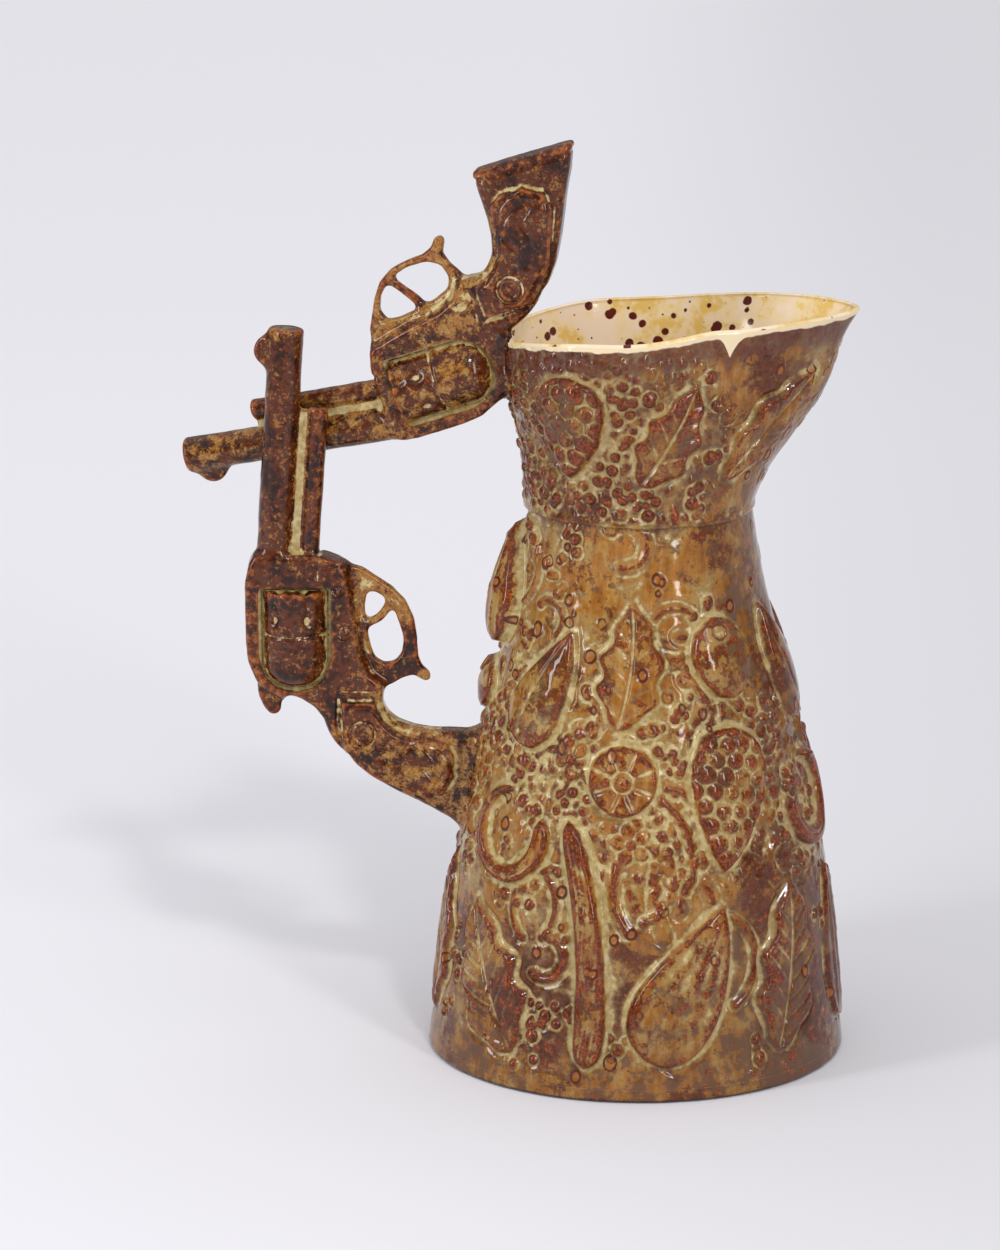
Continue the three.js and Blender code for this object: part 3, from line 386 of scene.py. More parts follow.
class Skin:
    """A surface round the jug, as a grid of turns and heights, and the height raised on it."""

    def __init__(self, turns, heights, radius_at, field):
        self.turns, self.heights, self.radius_at, self.field = turns, heights, radius_at, field
        self.owner = np.full(field.shape, -1)
        self.edge = np.full(field.shape, FAR_OUTSIDE)

    def add_reliefs(self, rows, scale, base, uneven):
        """Raises the reliefs, and keeps which of them owns each grid point, and how far in it is."""
        field, owner, edge = self.field, self.owner, self.edge
        for number, (_, kind, turn, height, heading, length, reach, bend, *own) in enumerate(rows):
            middle = radians(turn)
            across = wrapped(self.turns - middle) * self.radius_at(middle + 0 * self.turns, self.heights)
            up = self.heights - (height * scale + base)
            near = (np.abs(across) < length * 0.75 + reach) & (np.abs(up) < length * 0.75 + reach)
            along, side = spine_place(across[near], up[near], heading, bend, length)
            t = along / length
            width = np.maximum(reach * half_width(kind, t), BLUNT_END)
            step = 0.01
            slope = reach * (half_width(kind, t + step) - half_width(kind, t - step)) / (2 * step * length)
            inside = (width - np.abs(side)) / np.sqrt(1 + np.clip(slope, -3, 3) ** 2)
            past_ends = np.minimum(along, length - along)
            beyond = -np.hypot(past_ends, np.maximum(np.abs(side) - BLUNT_END, 0))
            inside = np.where(past_ends < 0, beyond, inside)
            c = side / width
            top = RELIEF_EDGE + (own[0] if own else SWELLS[kind]) * swell(kind, c, t)
            top = top + carving(kind, along, side, t, c, length, reach) * smoothstep(0.3, 2.5, inside)
            raised = top * smoothstep(-0.6, 2.2, inside)
            depth = np.clip(0.62 + 0.9 * uneven[near], 0.12, 1.1)
            moat = -depth * bell(inside + 1.5, 1.0 + 0.6 * depth)
            values = field[near] * (1 - smoothstep(-1.2, 0.4, inside)) + raised + moat
            field[near] = np.where(inside > -5, values, field[near])
            mine = (inside > edge[near]) & (inside > -0.5)
            owner[near] = np.where(mine, number, owner[near])
            edge[near] = np.maximum(edge[near], inside)

    def free_places(self, count, room, seed, margin, low, high):
        """Random places with room round them: the generator that found each, its turn and its height."""
        random = np.random.default_rng(seed)
        rows, columns = margin.shape
        found = []
        for _ in range(30 * count):
            place = random.integers(rows), random.integers(columns)
            if low < self.heights[place] < high and margin[place] < -room:
                found.append((random, self.turns[place], self.heights[place]))
                if len(found) == count:
                    break
        return found

    def on_the_flat(self, turn, height, reach):
        """Which grid points lie near a place, and their offsets from it across and up."""
        middle = self.radius_at(np.array([turn]), np.array([height]))[0]
        away = wrapped(self.turns[0] - turn)
        columns = np.abs(away) * middle < reach
        window = np.ix_(np.abs(self.heights[:, 0] - height) < reach, columns)
        radius = self.radius_at(self.turns[window], self.heights[window])
        return window, away[None, columns] * radius, self.heights[window] - height

    def add_blossoms(self, *where):
        """Small five-petalled blossoms with a round middle."""
        for random, turn, height in self.free_places(*where):
            size, spin = random.uniform(7.0, 11.5), random.uniform(0, pi)
            window, across, up = self.on_the_flat(turn, height, size + 5)
            away, angle = np.hypot(across, up), np.arctan2(up, across) + spin
            lobes = np.abs(np.cos(2.5 * angle))
            petal = size * (0.62 + 0.38 * lobes)
            dome = 1.7 * bulge(away / petal) * (0.45 + 0.55 * away / size)
            cleft = -0.8 * bell(lobes * away, 1.1) * (away < petal)
            moat = -0.6 * bell(away - petal - 0.9, 0.9)
            inside = smoothstep(petal + 0.6, petal - 0.6, away)
            ground = self.field[window] * (1 - 0.8 * inside)
            raised = ground + dome + cleft * (away > 2) + 1.5 * bulge(away / 2.4) + moat
            self.field[window] += (raised - self.field[window]) * self.cover[window]

    def add_tendrils(self, *where):
        """Thin curling stems that end in a bead."""
        for random, turn, height in self.free_places(*where):
            length = random.uniform(22, 58)
            bend = random.uniform(60, 250) * random.choice([-1, 1])
            heading, width = random.uniform(40, 140), random.uniform(1.2, 2.1)
            window, across, up = self.on_the_flat(turn, height, 0.6 * length + 6)
            along, side = spine_place(across, up, heading, bend, length)
            away = np.hypot(side, np.maximum(np.maximum(-along, along - length), 0))
            bead = 1.5 * bulge(np.hypot(along - length, side) / (2.1 * width))
            moat = -0.55 * bell(away - 2.3 * width, 0.9)
            self.field[window] += (np.maximum(1.5 * bell(away, width), bead) + moat) * self.cover[window]

    def add_buds(self, *where):
        """Loose clusters of round buds."""
        for random, turn, height in self.free_places(*where):
            for _ in range(random.integers(3, 8)):
                size = random.uniform(1.7, 3.1)
                at_height = height + random.normal(0, 5.5)
                at_turn = turn + random.normal(0, 5.5) / 75
                window, across, up = self.on_the_flat(at_turn, at_height, size + 3)
                away = np.hypot(across, up)
                dome = 0.62 * size * bulge(away / size)
                ground, cover = self.field[window], self.cover[window]
                lower = ground + -0.4 * bell(away - size - 0.7, 0.8) * cover
                self.field[window] = np.where(away < size, np.maximum(ground, dome * cover), lower)

    def add_pebbles(self, points, size, seed, share, high, low):
        """Granular texture where nothing else stands out."""
        pebble = 1 - np.clip(pebbles(points, size, seed) / 0.62, 0, 1) ** 2
        calm = 1 - np.clip(np.abs(self.field) / 1.2, 0, 1)
        self.field += share * calm * (high * pebble - low)

    def add_blisters(self, *where):
        """Round blisters with a raised rim. Returns how much each grid point is rim and heart."""
        rims, hearts = np.zeros(self.field.shape), np.zeros(self.field.shape)
        for random, turn, height in self.free_places(*where):
            size = random.uniform(0.9, 2.2) * random.choice([1, 1, 1.3])
            strength = random.uniform(0.55, 1)
            window, across, up = self.on_the_flat(turn, height, size + 3)
            distance = np.hypot(across, random.uniform(0.7, 1) * up)
            ring = strength * bell(distance - size, 0.75)
            heart = strength * smoothstep(size, 0.55 * size, distance)
            self.field[window] += 0.42 * ring + 0.1 * heart
            rims[window] = np.maximum(rims[window] * (1 - heart), ring)
            hearts[window] = np.maximum(hearts[window], heart)
        return rims, hearts

    def layers(self, cell_height, cell_width, **marks):
        """What the glaze reads at each point: how far it stands out closely and broadly, and marks."""
        for name, reach in (("fine", 1.5), ("broad", 5.5)):
            marks[name] = self.field - blurred(self.field, reach / cell_height, reach / cell_width)
        return {"raised": self.field, **marks}


# Meshes
def mesh_object(name, points, faces, layers, normals, materials, face_materials=None):
    """An object from points in millimetres, four-sided faces and layers of a number per point."""
    mesh = bpy.data.meshes.new(name)
    mesh.vertices.add(len(points))
    mesh.vertices.foreach_set("co", (points * MM).astype(np.float32).ravel())
    mesh.loops.add(faces.size)
    mesh.loops.foreach_set("vertex_index", faces.astype(np.int32).ravel())
    mesh.polygons.add(len(faces))
    mesh.polygons.foreach_set("loop_start", np.arange(0, faces.size, 4, dtype=np.int32))
    for surface in materials:
        mesh.materials.append(surface)
    if face_materials is not None:
        mesh.polygons.foreach_set("material_index", face_materials.astype(np.int32))
    mesh.update(calc_edges=True)
    mesh.polygons.foreach_set("use_smooth", np.ones(len(faces), bool))
    for label, values in layers.items():
        layer = mesh.attributes.new(label, "FLOAT", "POINT")
        layer.data.foreach_set("value", values.astype(np.float32))
    mesh.normals_split_custom_set_from_vertices(normals.tolist())
    return placed(bpy.data.objects.new(name, mesh))


def placed(obj):
    bpy.context.scene.collection.objects.link(obj)
    return obj


def loop_faces(rows, columns, closed_rows=False):
    """Quads of a grid that closes on itself along its columns, and along its rows if asked."""
    row = np.arange(rows if closed_rows else rows - 1)[:, None]
    column = np.arange(columns)
    next_row, beside = (row + 1) % rows, (column + 1) % columns
    corners = (row, column), (row, beside), (next_row, beside), (next_row, column)
    return np.stack([line * columns + place for line, place in corners], -1).reshape(-1, 4)


def point_normals(points, faces):
    a, b, c, d = points[faces.T]
    across = np.cross(c - a, d - b)
    normals = np.zeros_like(points)
    for corner in faces.T:
        for axis in range(3):
            normals[:, axis] += np.bincount(corner, across[:, axis], len(points))
    return unit(normals)


def unit(vectors):
    return vectors / np.maximum(np.linalg.norm(vectors, axis=1, keepdims=True), 1e-9)


def shell(faces, count):
    """The faces of a thin closed shell: outside, inside, and a strip along each open edge.
    The inside points follow the outside ones in the same order."""
    ends = np.concatenate([faces[:, [k, (k + 1) % 4]] for k in range(4)])
    forward = ends[:, 0] * count + ends[:, 1]
    backward = ends[:, 1] * count + ends[:, 0]
    edge = ends[~np.isin(forward, backward)]
    strip = np.stack([edge[:, 1], edge[:, 0], edge[:, 0] + count, edge[:, 1] + count], -1)
    return np.vstack([faces, faces[:, ::-1] + count, strip]), np.unique(edge)


def shell_piece(name, faces, points, under_points, normals, layers, surface):
    """A closed piece of the given faces: their points, the points under them, and a strip along
    the edge. Also returns the points in use and the numbers of those on the edge."""
    used, own = np.unique(faces, return_inverse=True)
    closed_faces, edge = shell(own.reshape(-1, 4), len(used))
    both = np.vstack([points[used], under_points(used, edge)])
    both_normals = np.vstack([normals[used], -normals[used]])
    both_layers = {key: np.tile(values[used], 2) for key, values in layers.items()}
    piece = mesh_object(name + "_glazed", both, closed_faces, both_layers, both_normals, [surface])
    return piece, used, edge


# Materials
def paint(red, green, blue):
    """A colour as it shows on a screen, 0 to 255, as the linear numbers that shaders take."""
    shares = [value / 255 for value in (red, green, blue)]
    linear = [share / 12.92 if share <= 0.04045 else ((share + 0.055) / 1.055) ** 2.4 for share in shares]
    return (*linear, 1.0)


def fill(tree, socket, value):
    """Gives a socket its number or colour, or links it to another node's socket."""
    if isinstance(value, bpy.types.NodeSocket):
        tree.links.new(value, socket)
    else:
        socket.default_value = value


def add_node(tree, kind, sockets=None, **settings):
    """A new node with its settings made and its sockets filled."""
    node = tree.nodes.new("ShaderNode" + kind)
    for key, value in settings.items():
        setattr(node, key, value)
    for key, value in (sockets or {}).items():
        fill(tree, node.inputs[key], value)
    return node


class Surface:
    """Short names for the nodes of one procedural material."""

    def __init__(self, name):
        self.material = bpy.data.materials.new(name)
        self.material.use_nodes = True
        self.tree = self.material.node_tree
        self.shader = self.tree.nodes["Principled BSDF"]
        sockets = {0: self.node("TexCoord").outputs["Object"], "Scale": 1 / MM}
        self.place = self.node("VectorMath", sockets, operation="SCALE").outputs[0]
        self.x, self.y, self.height = self.node("SeparateXYZ", {0: self.place}).outputs

    def node(self, kind, sockets=None, **settings):
        return add_node(self.tree, kind, sockets, **settings)

    def layers(self, *names):
        return [self.node("Attribute", attribute_name=name).outputs["Fac"] for name in names]

    def moved(self, location, scale):
        """The place in millimetres, scaled and then shifted."""
        sockets = {"Location": location, "Scale": scale, "Vector": self.place}
        return self.node("Mapping", sockets).outputs[0]

    def noise(self, size, detail=2.0, roughness=0.5, stretch=(1, 1, 1), shift=0.0, warp=0.0):
        """Noise from 0 to 1 with lumps about size millimetres across."""
        place = self.moved((shift, shift * 0.7, -shift), [1 / (size * part) for part in stretch])
        sockets = {"Vector": place, "Scale": 1.0, "Detail": detail, "Roughness": roughness}
        return self.node("TexNoise", {**sockets, "Distortion": warp}).outputs["Fac"]

    def cells(self, size, shift):
        """Distance to the nearest scattered point, as a share of about size millimetres."""
        place = self.moved((shift, -shift, shift * 0.3), [1 / size] * 3)
        return self.node("TexVoronoi", {"Scale": 1.0, "Vector": place}).outputs["Distance"]

    def times(self, first, second, plus=0.0):
        sockets = {0: first, 1: second, 2: plus}
        return self.node("Math", sockets, operation="MULTIPLY_ADD").outputs[0]

    def total(self, *terms):
        """The sum of (value, weight) pairs."""
        result = 0.0
        for value, weight in terms:
            result = self.times(value, weight, result)
        return result

    def step(self, value, low, high):
        """A smooth step from 0 at low to 1 at high."""
        sockets = {"Value": value, "From Min": low, "From Max": high}
        return self.node("MapRange", sockets, interpolation_type="SMOOTHSTEP").outputs["Result"]

    def ramp(self, value, *stops):
        """A colour along (place, colour) stops."""
        node = self.node("ValToRGB", {"Fac": value})
        elements = node.color_ramp.elements
        while len(elements) < len(stops):
            elements.new(0.5)
        for element, (place, colour) in zip(elements, stops):
            element.position = place
            element.color = colour
        return node.outputs["Color"]

    def mix(self, share, first, second):
        sockets = {"Factor": share, "A": first, "B": second}
        return self.node("Mix", sockets, data_type="RGBA").outputs["Result"]

    def over(self, ground, layer, share, most):
        """A layer over the ground by its share, which hides at most so much of the ground."""
        return self.mix(self.times(share, most), ground, layer)

    def bump(self, height, strength, distance):
        sockets = {"Strength": strength, "Distance": distance * MM, "Height": height}
        fill(self.tree, self.shader.inputs["Normal"], self.node("Bump", sockets).outputs[0])

    def finish(self, colour, roughness, gloss=0.45, refraction=1.46):
        fill(self.tree, self.shader.inputs["Base Color"], colour)
        fill(self.tree, self.shader.inputs["Roughness"], roughness)
        self.shader.inputs["IOR"].default_value = refraction
        self.shader.inputs["Specular IOR Level"].default_value = gloss
        return self.material


OCHRE_DARK = paint(122, 72, 24)
OCHRE = paint(158, 105, 42)
OCHRE_LIGHT = paint(182, 136, 70)
RUST_DARK = paint(56, 20, 9)
RUST = paint(98, 37, 12)
RUST_BRIGHT = paint(158, 74, 24)
PURPLE_GREY = paint(80, 58, 50)
CREAM = paint(184, 162, 108)
CREAM_GREEN = paint(162, 136, 82)
CREAM_PALE = paint(206, 190, 144)
SPECK = paint(58, 50, 42)
RUN_CREAM = ((0.36, CREAM_GREEN), (0.5, CREAM), (0.66, CREAM_PALE))


def body_glaze(name):
    """Runny ochre glaze: rust where it breaks over edges, cream where it pools, and painted shade that
    darkens and dulls it towards the spout's side.
    """
    s = Surface(name)
    fine, broad, grain, lip, shade = s.layers("fine", "broad", "grain", "lip", "shade")
    raised, scorch, ring, heart = s.layers("raised", "scorch", "ring", "heart")
    streak = s.noise(4.0, 4, 0.6, stretch=(1, 1, 6), warp=0.4)
    blotch = s.noise(24.0, 3, 0.55, shift=3.1)
    patch = s.noise(38.0, 4, 0.6, shift=12.3)
    mottle = s.noise(3.4, 5, 0.62, shift=9.7)
    crumbs = s.noise(1.1, 3, 0.6, shift=5.3)
    cloud = s.noise(9.0, 4, 0.65, shift=15.0)
    crust = s.total((mottle, 0.6), (crumbs, 0.4))

    depth = s.total((streak, 0.45), (mottle, 0.3), (blotch, 0.25))
    ground = s.ramp(depth, (0.36, OCHRE_DARK), (0.5, OCHRE), (0.64, OCHRE_LIGHT))
    on_relief = s.step(raised, 1.2, 4.0)
    film = s.total((blotch, 0.45), (streak, 0.35), (mottle, 0.3), (on_relief, 0.06), (shade, -0.05))
    ground = s.over(ground, CREAM_GREEN, s.step(film, 0.52, 0.64), 0.75)
    # Painted shade: dark brown over the ground towards the spout's side; the same layer also darkens it
    # towards the foot and on the collar's granular part
    ground = s.over(ground, paint(96, 58, 28), shade, 0.66)
    # Purple-grey patches, more of them where the shade layer paints shade towards the spout's side
    smoke = s.total((cloud, 0.65), (mottle, 0.35), (shade, 0.13))
    ground = s.over(ground, PURPLE_GREY, s.step(smoke, 0.53, 0.6), 0.7)
    burnt = s.total((patch, 0.72), (mottle, 0.2), (crumbs, 0.12), (scorch, 0.12))
    scorched = s.ramp(crust, (0.4, paint(50, 20, 9)), (0.56, paint(98, 44, 18)))
    ground = s.over(ground, scorched, s.step(burnt, 0.556, 0.585), 0.88)
    flecks = s.total((s.cells(2.4, 4.0), 1.0), (s.noise(12.0, 2, shift=7.0), 1.1))
    ground = s.over(ground, SPECK, s.step(flecks, 0.64, 0.5), 0.8)

    uneven = ((mottle, 3.6), (blotch, 2.4), (cloud, 2.2), (-4.15, 1.0))
    convex = s.total((fine, 1.15), (broad, 0.14), (grain, 0.22), *uneven)
    rust_depth = s.total((crumbs, 0.6), (mottle, 0.4))
    rust = s.ramp(rust_depth, (0.36, RUST_DARK), (0.5, RUST), (0.62, RUST_BRIGHT))
    colour = s.over(ground, rust, s.step(convex, 0.3, 0.66), 0.92)

    # Less cream pools where the shade layer paints shade towards the spout's side
    uneven = ((mottle, 1.8), (blotch, 3.0), (cloud, -3.0), (shade, -0.5), (-1.0, 1.0))
    hollow = s.total((fine, -1.7), (broad, -0.12), (grain, 0.2), *uneven)
    halo = s.times(s.step(hollow, -0.05, 0.26), s.step(raised, 0.6, -0.2))
    colour = s.over(colour, PURPLE_GREY, halo, 0.35)
    colour = s.over(colour, CREAM_GREEN, s.step(hollow, -0.35, 0.45), 0.42)
    # Cream darkened by the painted shade towards the spout's side, towards the foot and on the collar's
    # granular part
    cream = s.over(s.ramp(mottle, *RUN_CREAM), paint(140, 106, 76), shade, 0.5)
    colour = s.over(colour, cream, s.step(hollow, 0.24, 0.9), 0.88)

    rim = s.step(s.total((ring, 1.0), (mottle, 0.9)), 0.8, 1.15)
    colour = s.over(colour, s.mix(mottle, RUST_DARK, RUST), rim, 0.95)
    colour = s.over(colour, s.mix(mottle, RUST_BRIGHT, OCHRE), s.step(heart, 0.3, 0.9), 0.7)

    band = s.step(s.total((lip, 1.0), (mottle, -11.0), (blotch, -16.0)), 3.0, -4.0)
    band_colour = s.ramp(crust, (0.42, RUST_DARK), (0.49, paint(104, 44, 28)), (0.57, PURPLE_GREY))
    colour = s.over(colour, band_colour, band, 0.76)
    drip = s.step(s.total((lip, 1.0), (s.noise(9.0, 2, shift=1.0), -3.0)), 1.9, 1.2)
    colour = s.mix(drip, colour, paint(228, 208, 172))
    bare = s.step(s.total((s.height, 1.0), (mottle, -2.4), (crumbs, -1.2)), 0.2, -0.9)
    colour = s.mix(bare, colour, paint(58, 26, 18))
    s.bump(s.total((mottle, 0.6), (streak, 0.25)), 0.16, 0.5)
    return s.finish(colour, s.step(mottle, -0.3, 7.0), 0.42)


def umber_glaze(name):
    """Dark red-brown glaze on the casts: orange on edges, cream run into every joint and groove."""
    s = Surface(name)
    fine, broad, pale = s.layers("fine", "broad", "pale")
    blotch = s.noise(12.0, 4, 0.6, shift=2.7)
    mottle = s.noise(3.2, 5, 0.62, shift=6.1)
    crumbs = s.noise(1.0, 3, 0.6, shift=1.9)
    depth = s.total((blotch, 0.5), (mottle, 0.5))
    browns = ((0.38, paint(30, 14, 8)), (0.46, paint(54, 22, 8)), (0.53, paint(90, 39, 12)))
    ground = s.ramp(depth, *browns, (0.6, paint(66, 42, 30)))
    flecks = s.step(s.total((s.noise(1.8, 3, 0.6, shift=21.0), 1.0), (blotch, 0.5)), 0.83, 0.95)
    ground = s.over(ground, s.mix(mottle, RUST_BRIGHT, OCHRE_LIGHT), flecks, 0.6)
    convex = s.total((fine, 2.0), (broad, 0.26), (mottle, 2.4), (crumbs, 0.6), (-1.62, 1.0))
    rust = s.ramp(mottle, (0.38, paint(98, 38, 13)), (0.5, paint(134, 62, 21)), (0.64, paint(164, 98, 42)))
    colour = s.over(ground, rust, s.step(convex, 0.3, 0.95), 0.8)
    tan_depth = s.total((crumbs, 0.5), (mottle, 0.5))
    tan_colour = s.ramp(tan_depth, (0.4, paint(120, 70, 32)), (0.5, OCHRE), (0.6, CREAM_GREEN))
    tan = s.total((s.noise(6.5, 5, 0.7, shift=11.0), 1.0), (crumbs, 0.2), (broad, -0.05), (pale, 0.26))
    colour = s.over(colour, tan_colour, s.step(tan, 0.66, 0.78), 0.85)
    uneven = ((mottle, 1.8), (blotch, 0.9), (crumbs, 0.4), (-1.82, 1.0))
    hollow = s.total((fine, -1.9), (broad, -0.62), (s.step(pale, 0.5, 1.0), 1.15), *uneven)
    colour = s.over(colour, s.ramp(mottle, *RUN_CREAM), s.step(hollow, 0.3, 0.66), 0.92)
    s.bump(mottle, 0.25, 0.4)
    return s.finish(colour, 0.11, 0.4)


def inside_glaze(name):
    """Pale cream glaze with yellow clouds, maroon dots and tiny dark specks."""
    s = Surface(name)
    (dots,) = s.layers("dot")
    mottle = s.noise(3.0, 4, 0.6, shift=8.0)
    clouds = s.total((s.noise(16.0, 3, 0.6, shift=2.0), 0.75), (mottle, 0.25))
    yellow = (0.6, paint(230, 192, 108))
    colour = s.ramp(clouds, (0.42, paint(242, 220, 196)), (0.52, paint(240, 216, 168)), yellow)
    specks = s.step(s.total((s.cells(5.5, 2.0), 1.0), (mottle, 0.3)), 0.24, 0.19)
    colour = s.mix(specks, colour, paint(74, 78, 86))
    spot = s.step(s.total((dots, 1.0), (mottle, 1.2)), 0.85, 0.35)
    colour = s.mix(spot, colour, s.mix(mottle, paint(58, 14, 14), paint(112, 34, 26)))
    s.bump(mottle, 0.15, 0.3)
    return s.finish(colour, 0.12)


# Wall and collar skins
def scorch_marks(turns, heights, marks):
    """Where the glaze burnt dark in wide patches: (turn in degrees, height, half width, half height)."""
    total = 0 * turns
    for turn, height, wide, high in marks:
        across = np.degrees(wrapped(turns - radians(turn))) / wide
        total = np.maximum(total, smoothstep(1.15, 0.7, np.hypot(across, (heights - height) / high)))
    return total


def wall_tone_and_painted_shade(turns, heights):
    """How much darker and duller the glaze is painted: painted shade towards the spout's side, and darker
    towards the foot.
    """
    return 0.66 * smoothstep(0.3, 0.85, np.sin(turns)) + 0.45 * smoothstep(130, 30, heights)


def no_dots(points):
    """Every point as far from a painted dot as can be."""
    return np.full(len(points), NO_DOT)


def closed_skin(name, skin, outer, inner, rows, layers, dots, surfaces):
    """A wall piece with its reliefs: outer and inner are grids of points with as many columns.
    Where a relief covers the wall, the wall is sunk under it."""
    field = skin.field
    sunk_lift = np.minimum(field, 0) - SUNK_UNDER_RELIEF
    lifts = (field, field + HAIR, sunk_lift, sunk_lift + UNDERSIDE_GAP)
    shown, lifted, sunk, under = (outer(lift).reshape(-1, 3) for lift in lifts)

    def underside(used, edge):
        below = under[used]
        below[edge] = (2 * shown - lifted)[used[edge]]
        return below

    outer_rows, columns = field.shape
    row_count = outer_rows + len(inner)
    points = np.vstack([shown, inner.reshape(-1, 3)])
    faces = loop_faces(row_count, columns, True)
    normals = point_normals(points, faces)
    grid_faces = loop_faces(outer_rows, columns)
    face_owner = skin.owner.ravel()[grid_faces]
    layers = {key: values.ravel() for key, values in layers.items()}
    patches = []
    for number, row in enumerate(rows):
        mine = grid_faces[(face_owner == number).all(1)]
        patch, used, edge = shell_piece(row[0], mine, lifted, underside, normals, layers, surfaces[0])
        hidden = np.delete(used, edge)
        points[hidden] = sunk[hidden]
        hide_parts(row[0])
        patches.append(patch)
    layers = {key: np.concatenate([values, np.zeros(inner.size // 3)]) for key, values in layers.items()}
    layers["dot"] = dots(points)
    on_inside = (np.repeat(np.arange(row_count), columns) >= outer_rows - 1).astype(int)
    if name == "body_wall_glazed":
        # The lowest ring stands on the foot, so it shades like the ring above it
        normals[:columns] = normals[columns : 2 * columns]
    return mesh_object(name, points, faces, layers, normals, surfaces, on_inside), patches


def wall_skin(surfaces):
    columns, rows, inner_rows = ((1000, 420, 30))
    heights = np.linspace(WALL_START, NECK_HEIGHT, rows)[:, None]
    turns, heights = np.broadcast_arrays(turn_row(columns), heights)
    base = wall_point(turns, heights, 0)
    skin = Skin(turns, heights, wall_radius, 0.7 * noise(base, 34, 11, 2) + 0.22 * noise(base, 7, 12, 2))
    belt = smoothstep(84, 104, heights) * smoothstep(168, 146, heights)
    belt = np.clip(belt + 0.9 * noise(base, 30, 13), 0, 1) * smoothstep(20, 50, heights)
    belt = belt * smoothstep(205, 180, heights)
    skin.add_reliefs(WALL_RELIEFS, NECK_HEIGHT, 0, noise(base, 15, 16, 2))
    edge = skin.edge
    skin.field += 0.34 * (noise(base, 6.0, 17, 2) - 1.8) * smoothstep(0.5, 3.5, edge)
    skin.cover = smoothstep(-0.6, -3.0, edge)
    in_belt = np.where(belt < 0.3, TAKEN, edge)
    under_collar = np.where(np.cos(turns + 0.65) < 0.72, TAKEN, edge)
    skin.add_tendrils(64, 5, 31, edge, 22, 215)
    skin.add_blossoms(30, 7, 32, in_belt, 40, 190)
    skin.add_buds(80, 4, 33, edge, 16, 200)
    skin.add_buds(9, 3, 36, under_collar, 224, 243)
    skin.add_tendrils(5, 3, 37, under_collar, 222, 240)
    skin.add_pebbles(base, 5.2, 14, belt * skin.cover, 1.5, 0.65)
    rims, hearts = skin.add_blisters(170, 0, 15, belt - 0.5, 10, 240)
    seated = smoothstep(COLLAR_FOOT + 1.5, COLLAR_FOOT - 5, heights)
    footed = smoothstep(FOOT_THICKNESS, FOOT_THICKNESS + 8, heights)
    skin.field = skin.field * seated * footed
    skin.owner = np.where((edge > -0.4) & (heights < COLLAR_FOOT - 2), skin.owner, -1)
    marks = {"grain": belt, "ring": rims, "heart": hearts, "lip": np.full(edge.shape, FAR_FROM_LIP)}
    # Painted shade towards the spout's side, and darker towards the foot
    marks["shade"] = wall_tone_and_painted_shade(turns, heights)
    marks["scorch"] = scorch_marks(turns, heights, WALL_SCORCHES)
    layers = skin.layers((NECK_HEIGHT - FOOT_THICKNESS) / rows, WALL_GIRTH / columns, **marks)
    inner_heights = np.linspace(NECK_HEIGHT, WALL_START, inner_rows)[:, None]
    inner = wall_point(turns[:1], inner_heights, -WALL_THICKNESS)

    def outer(lift):
        return wall_point(turns, heights, lift)

    name = "body_wall_glazed"
    wall, patches = closed_skin(name, skin, outer, inner, WALL_RELIEFS, layers, no_dots, surfaces)
    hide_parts("body_wall")
    return [wall, *patches]


def foot_skin(surfaces):
    """The foot slab: the wall's outline carried down to a rounded, bare edge, cream on top."""
    columns = 480
    turns = turn_row(columns)
    profile = [(0, -60), (0, -2.8), (0.25, -1.5), (0.9, -0.5), (1.8, -0.1)]
    profile += [(3.2, 0), (4.8, 0), (FOOT_THICKNESS, 0), (FOOT_THICKNESS, -60)]
    rings = []
    for height, lift in profile:
        here = np.full((1, 1), float(height))
        waver = -0.5 * np.abs(noise(wall_point(turns, here, 0), 12, 51, 2))
        waver = waver * min(1, (FOOT_THICKNESS - height) / 3)
        rings.append(wall_point(turns, here, lift + waver * (lift > -10)))
    middle = np.zeros((1, columns, 3))
    points = np.concatenate([middle, *rings, middle + np.array([0, 0, FOOT_THICKNESS])]).reshape(-1, 3)
    faces = loop_faces(len(profile) + 2, columns)
    normals = point_normals(points, faces)
    top = (len(profile) - 1) * columns
    normals[top : top + columns] = normals[top - columns : top]
    layers = dict.fromkeys(("fine", "broad", "grain", "ring", "heart", "raised"), np.zeros(len(points)))
    place = np.tile(turns[0], len(profile) + 2), points[:, 2]
    # The foot carries the wall's painted shade towards the spout's side and its darker tone near the foot
    layers |= {"lip": np.full(len(points), FAR_FROM_LIP), "shade": wall_tone_and_painted_shade(*place), "dot": no_dots(points)}
    layers["scorch"] = scorch_marks(*place, WALL_SCORCHES)
    on_top = (np.arange(len(faces)) >= top).astype(int)
    foot = mesh_object("foot_slab_glazed", points, faces, layers, normals, surfaces, on_top)
    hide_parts("foot_slab")
    return [foot]


def dot_distance(points):
    """Distance to the edge of the nearest painted dot, in millimetres."""
    random = np.random.default_rng(28)
    nearest = no_dots(points)
    for cluster in range(52):
        turn = random.uniform(0, 2 * pi) if cluster % 3 else radians(random.normal(160, 20))
        height = random.uniform(22, 76)
        for _ in range(random.integers(2, 7)):
            dot_turn = turn + random.normal(0, 0.16)
            dot_height = NECK_HEIGHT + height + random.normal(0, 5.5)
            radius = 50 + 0.1 * height
            centre = np.array([radius * sin(dot_turn), -radius * cos(dot_turn), dot_height])
            offset = points - centre
            depth = offset[:, :2] @ (centre[:2] / radius)
            away = np.sqrt(np.maximum((offset**2).sum(-1) - depth**2, 0))
            size = random.uniform(0.5, 2.3)
            nearest = np.where(np.abs(depth) < 30, np.minimum(nearest, away - size), nearest)
    return nearest


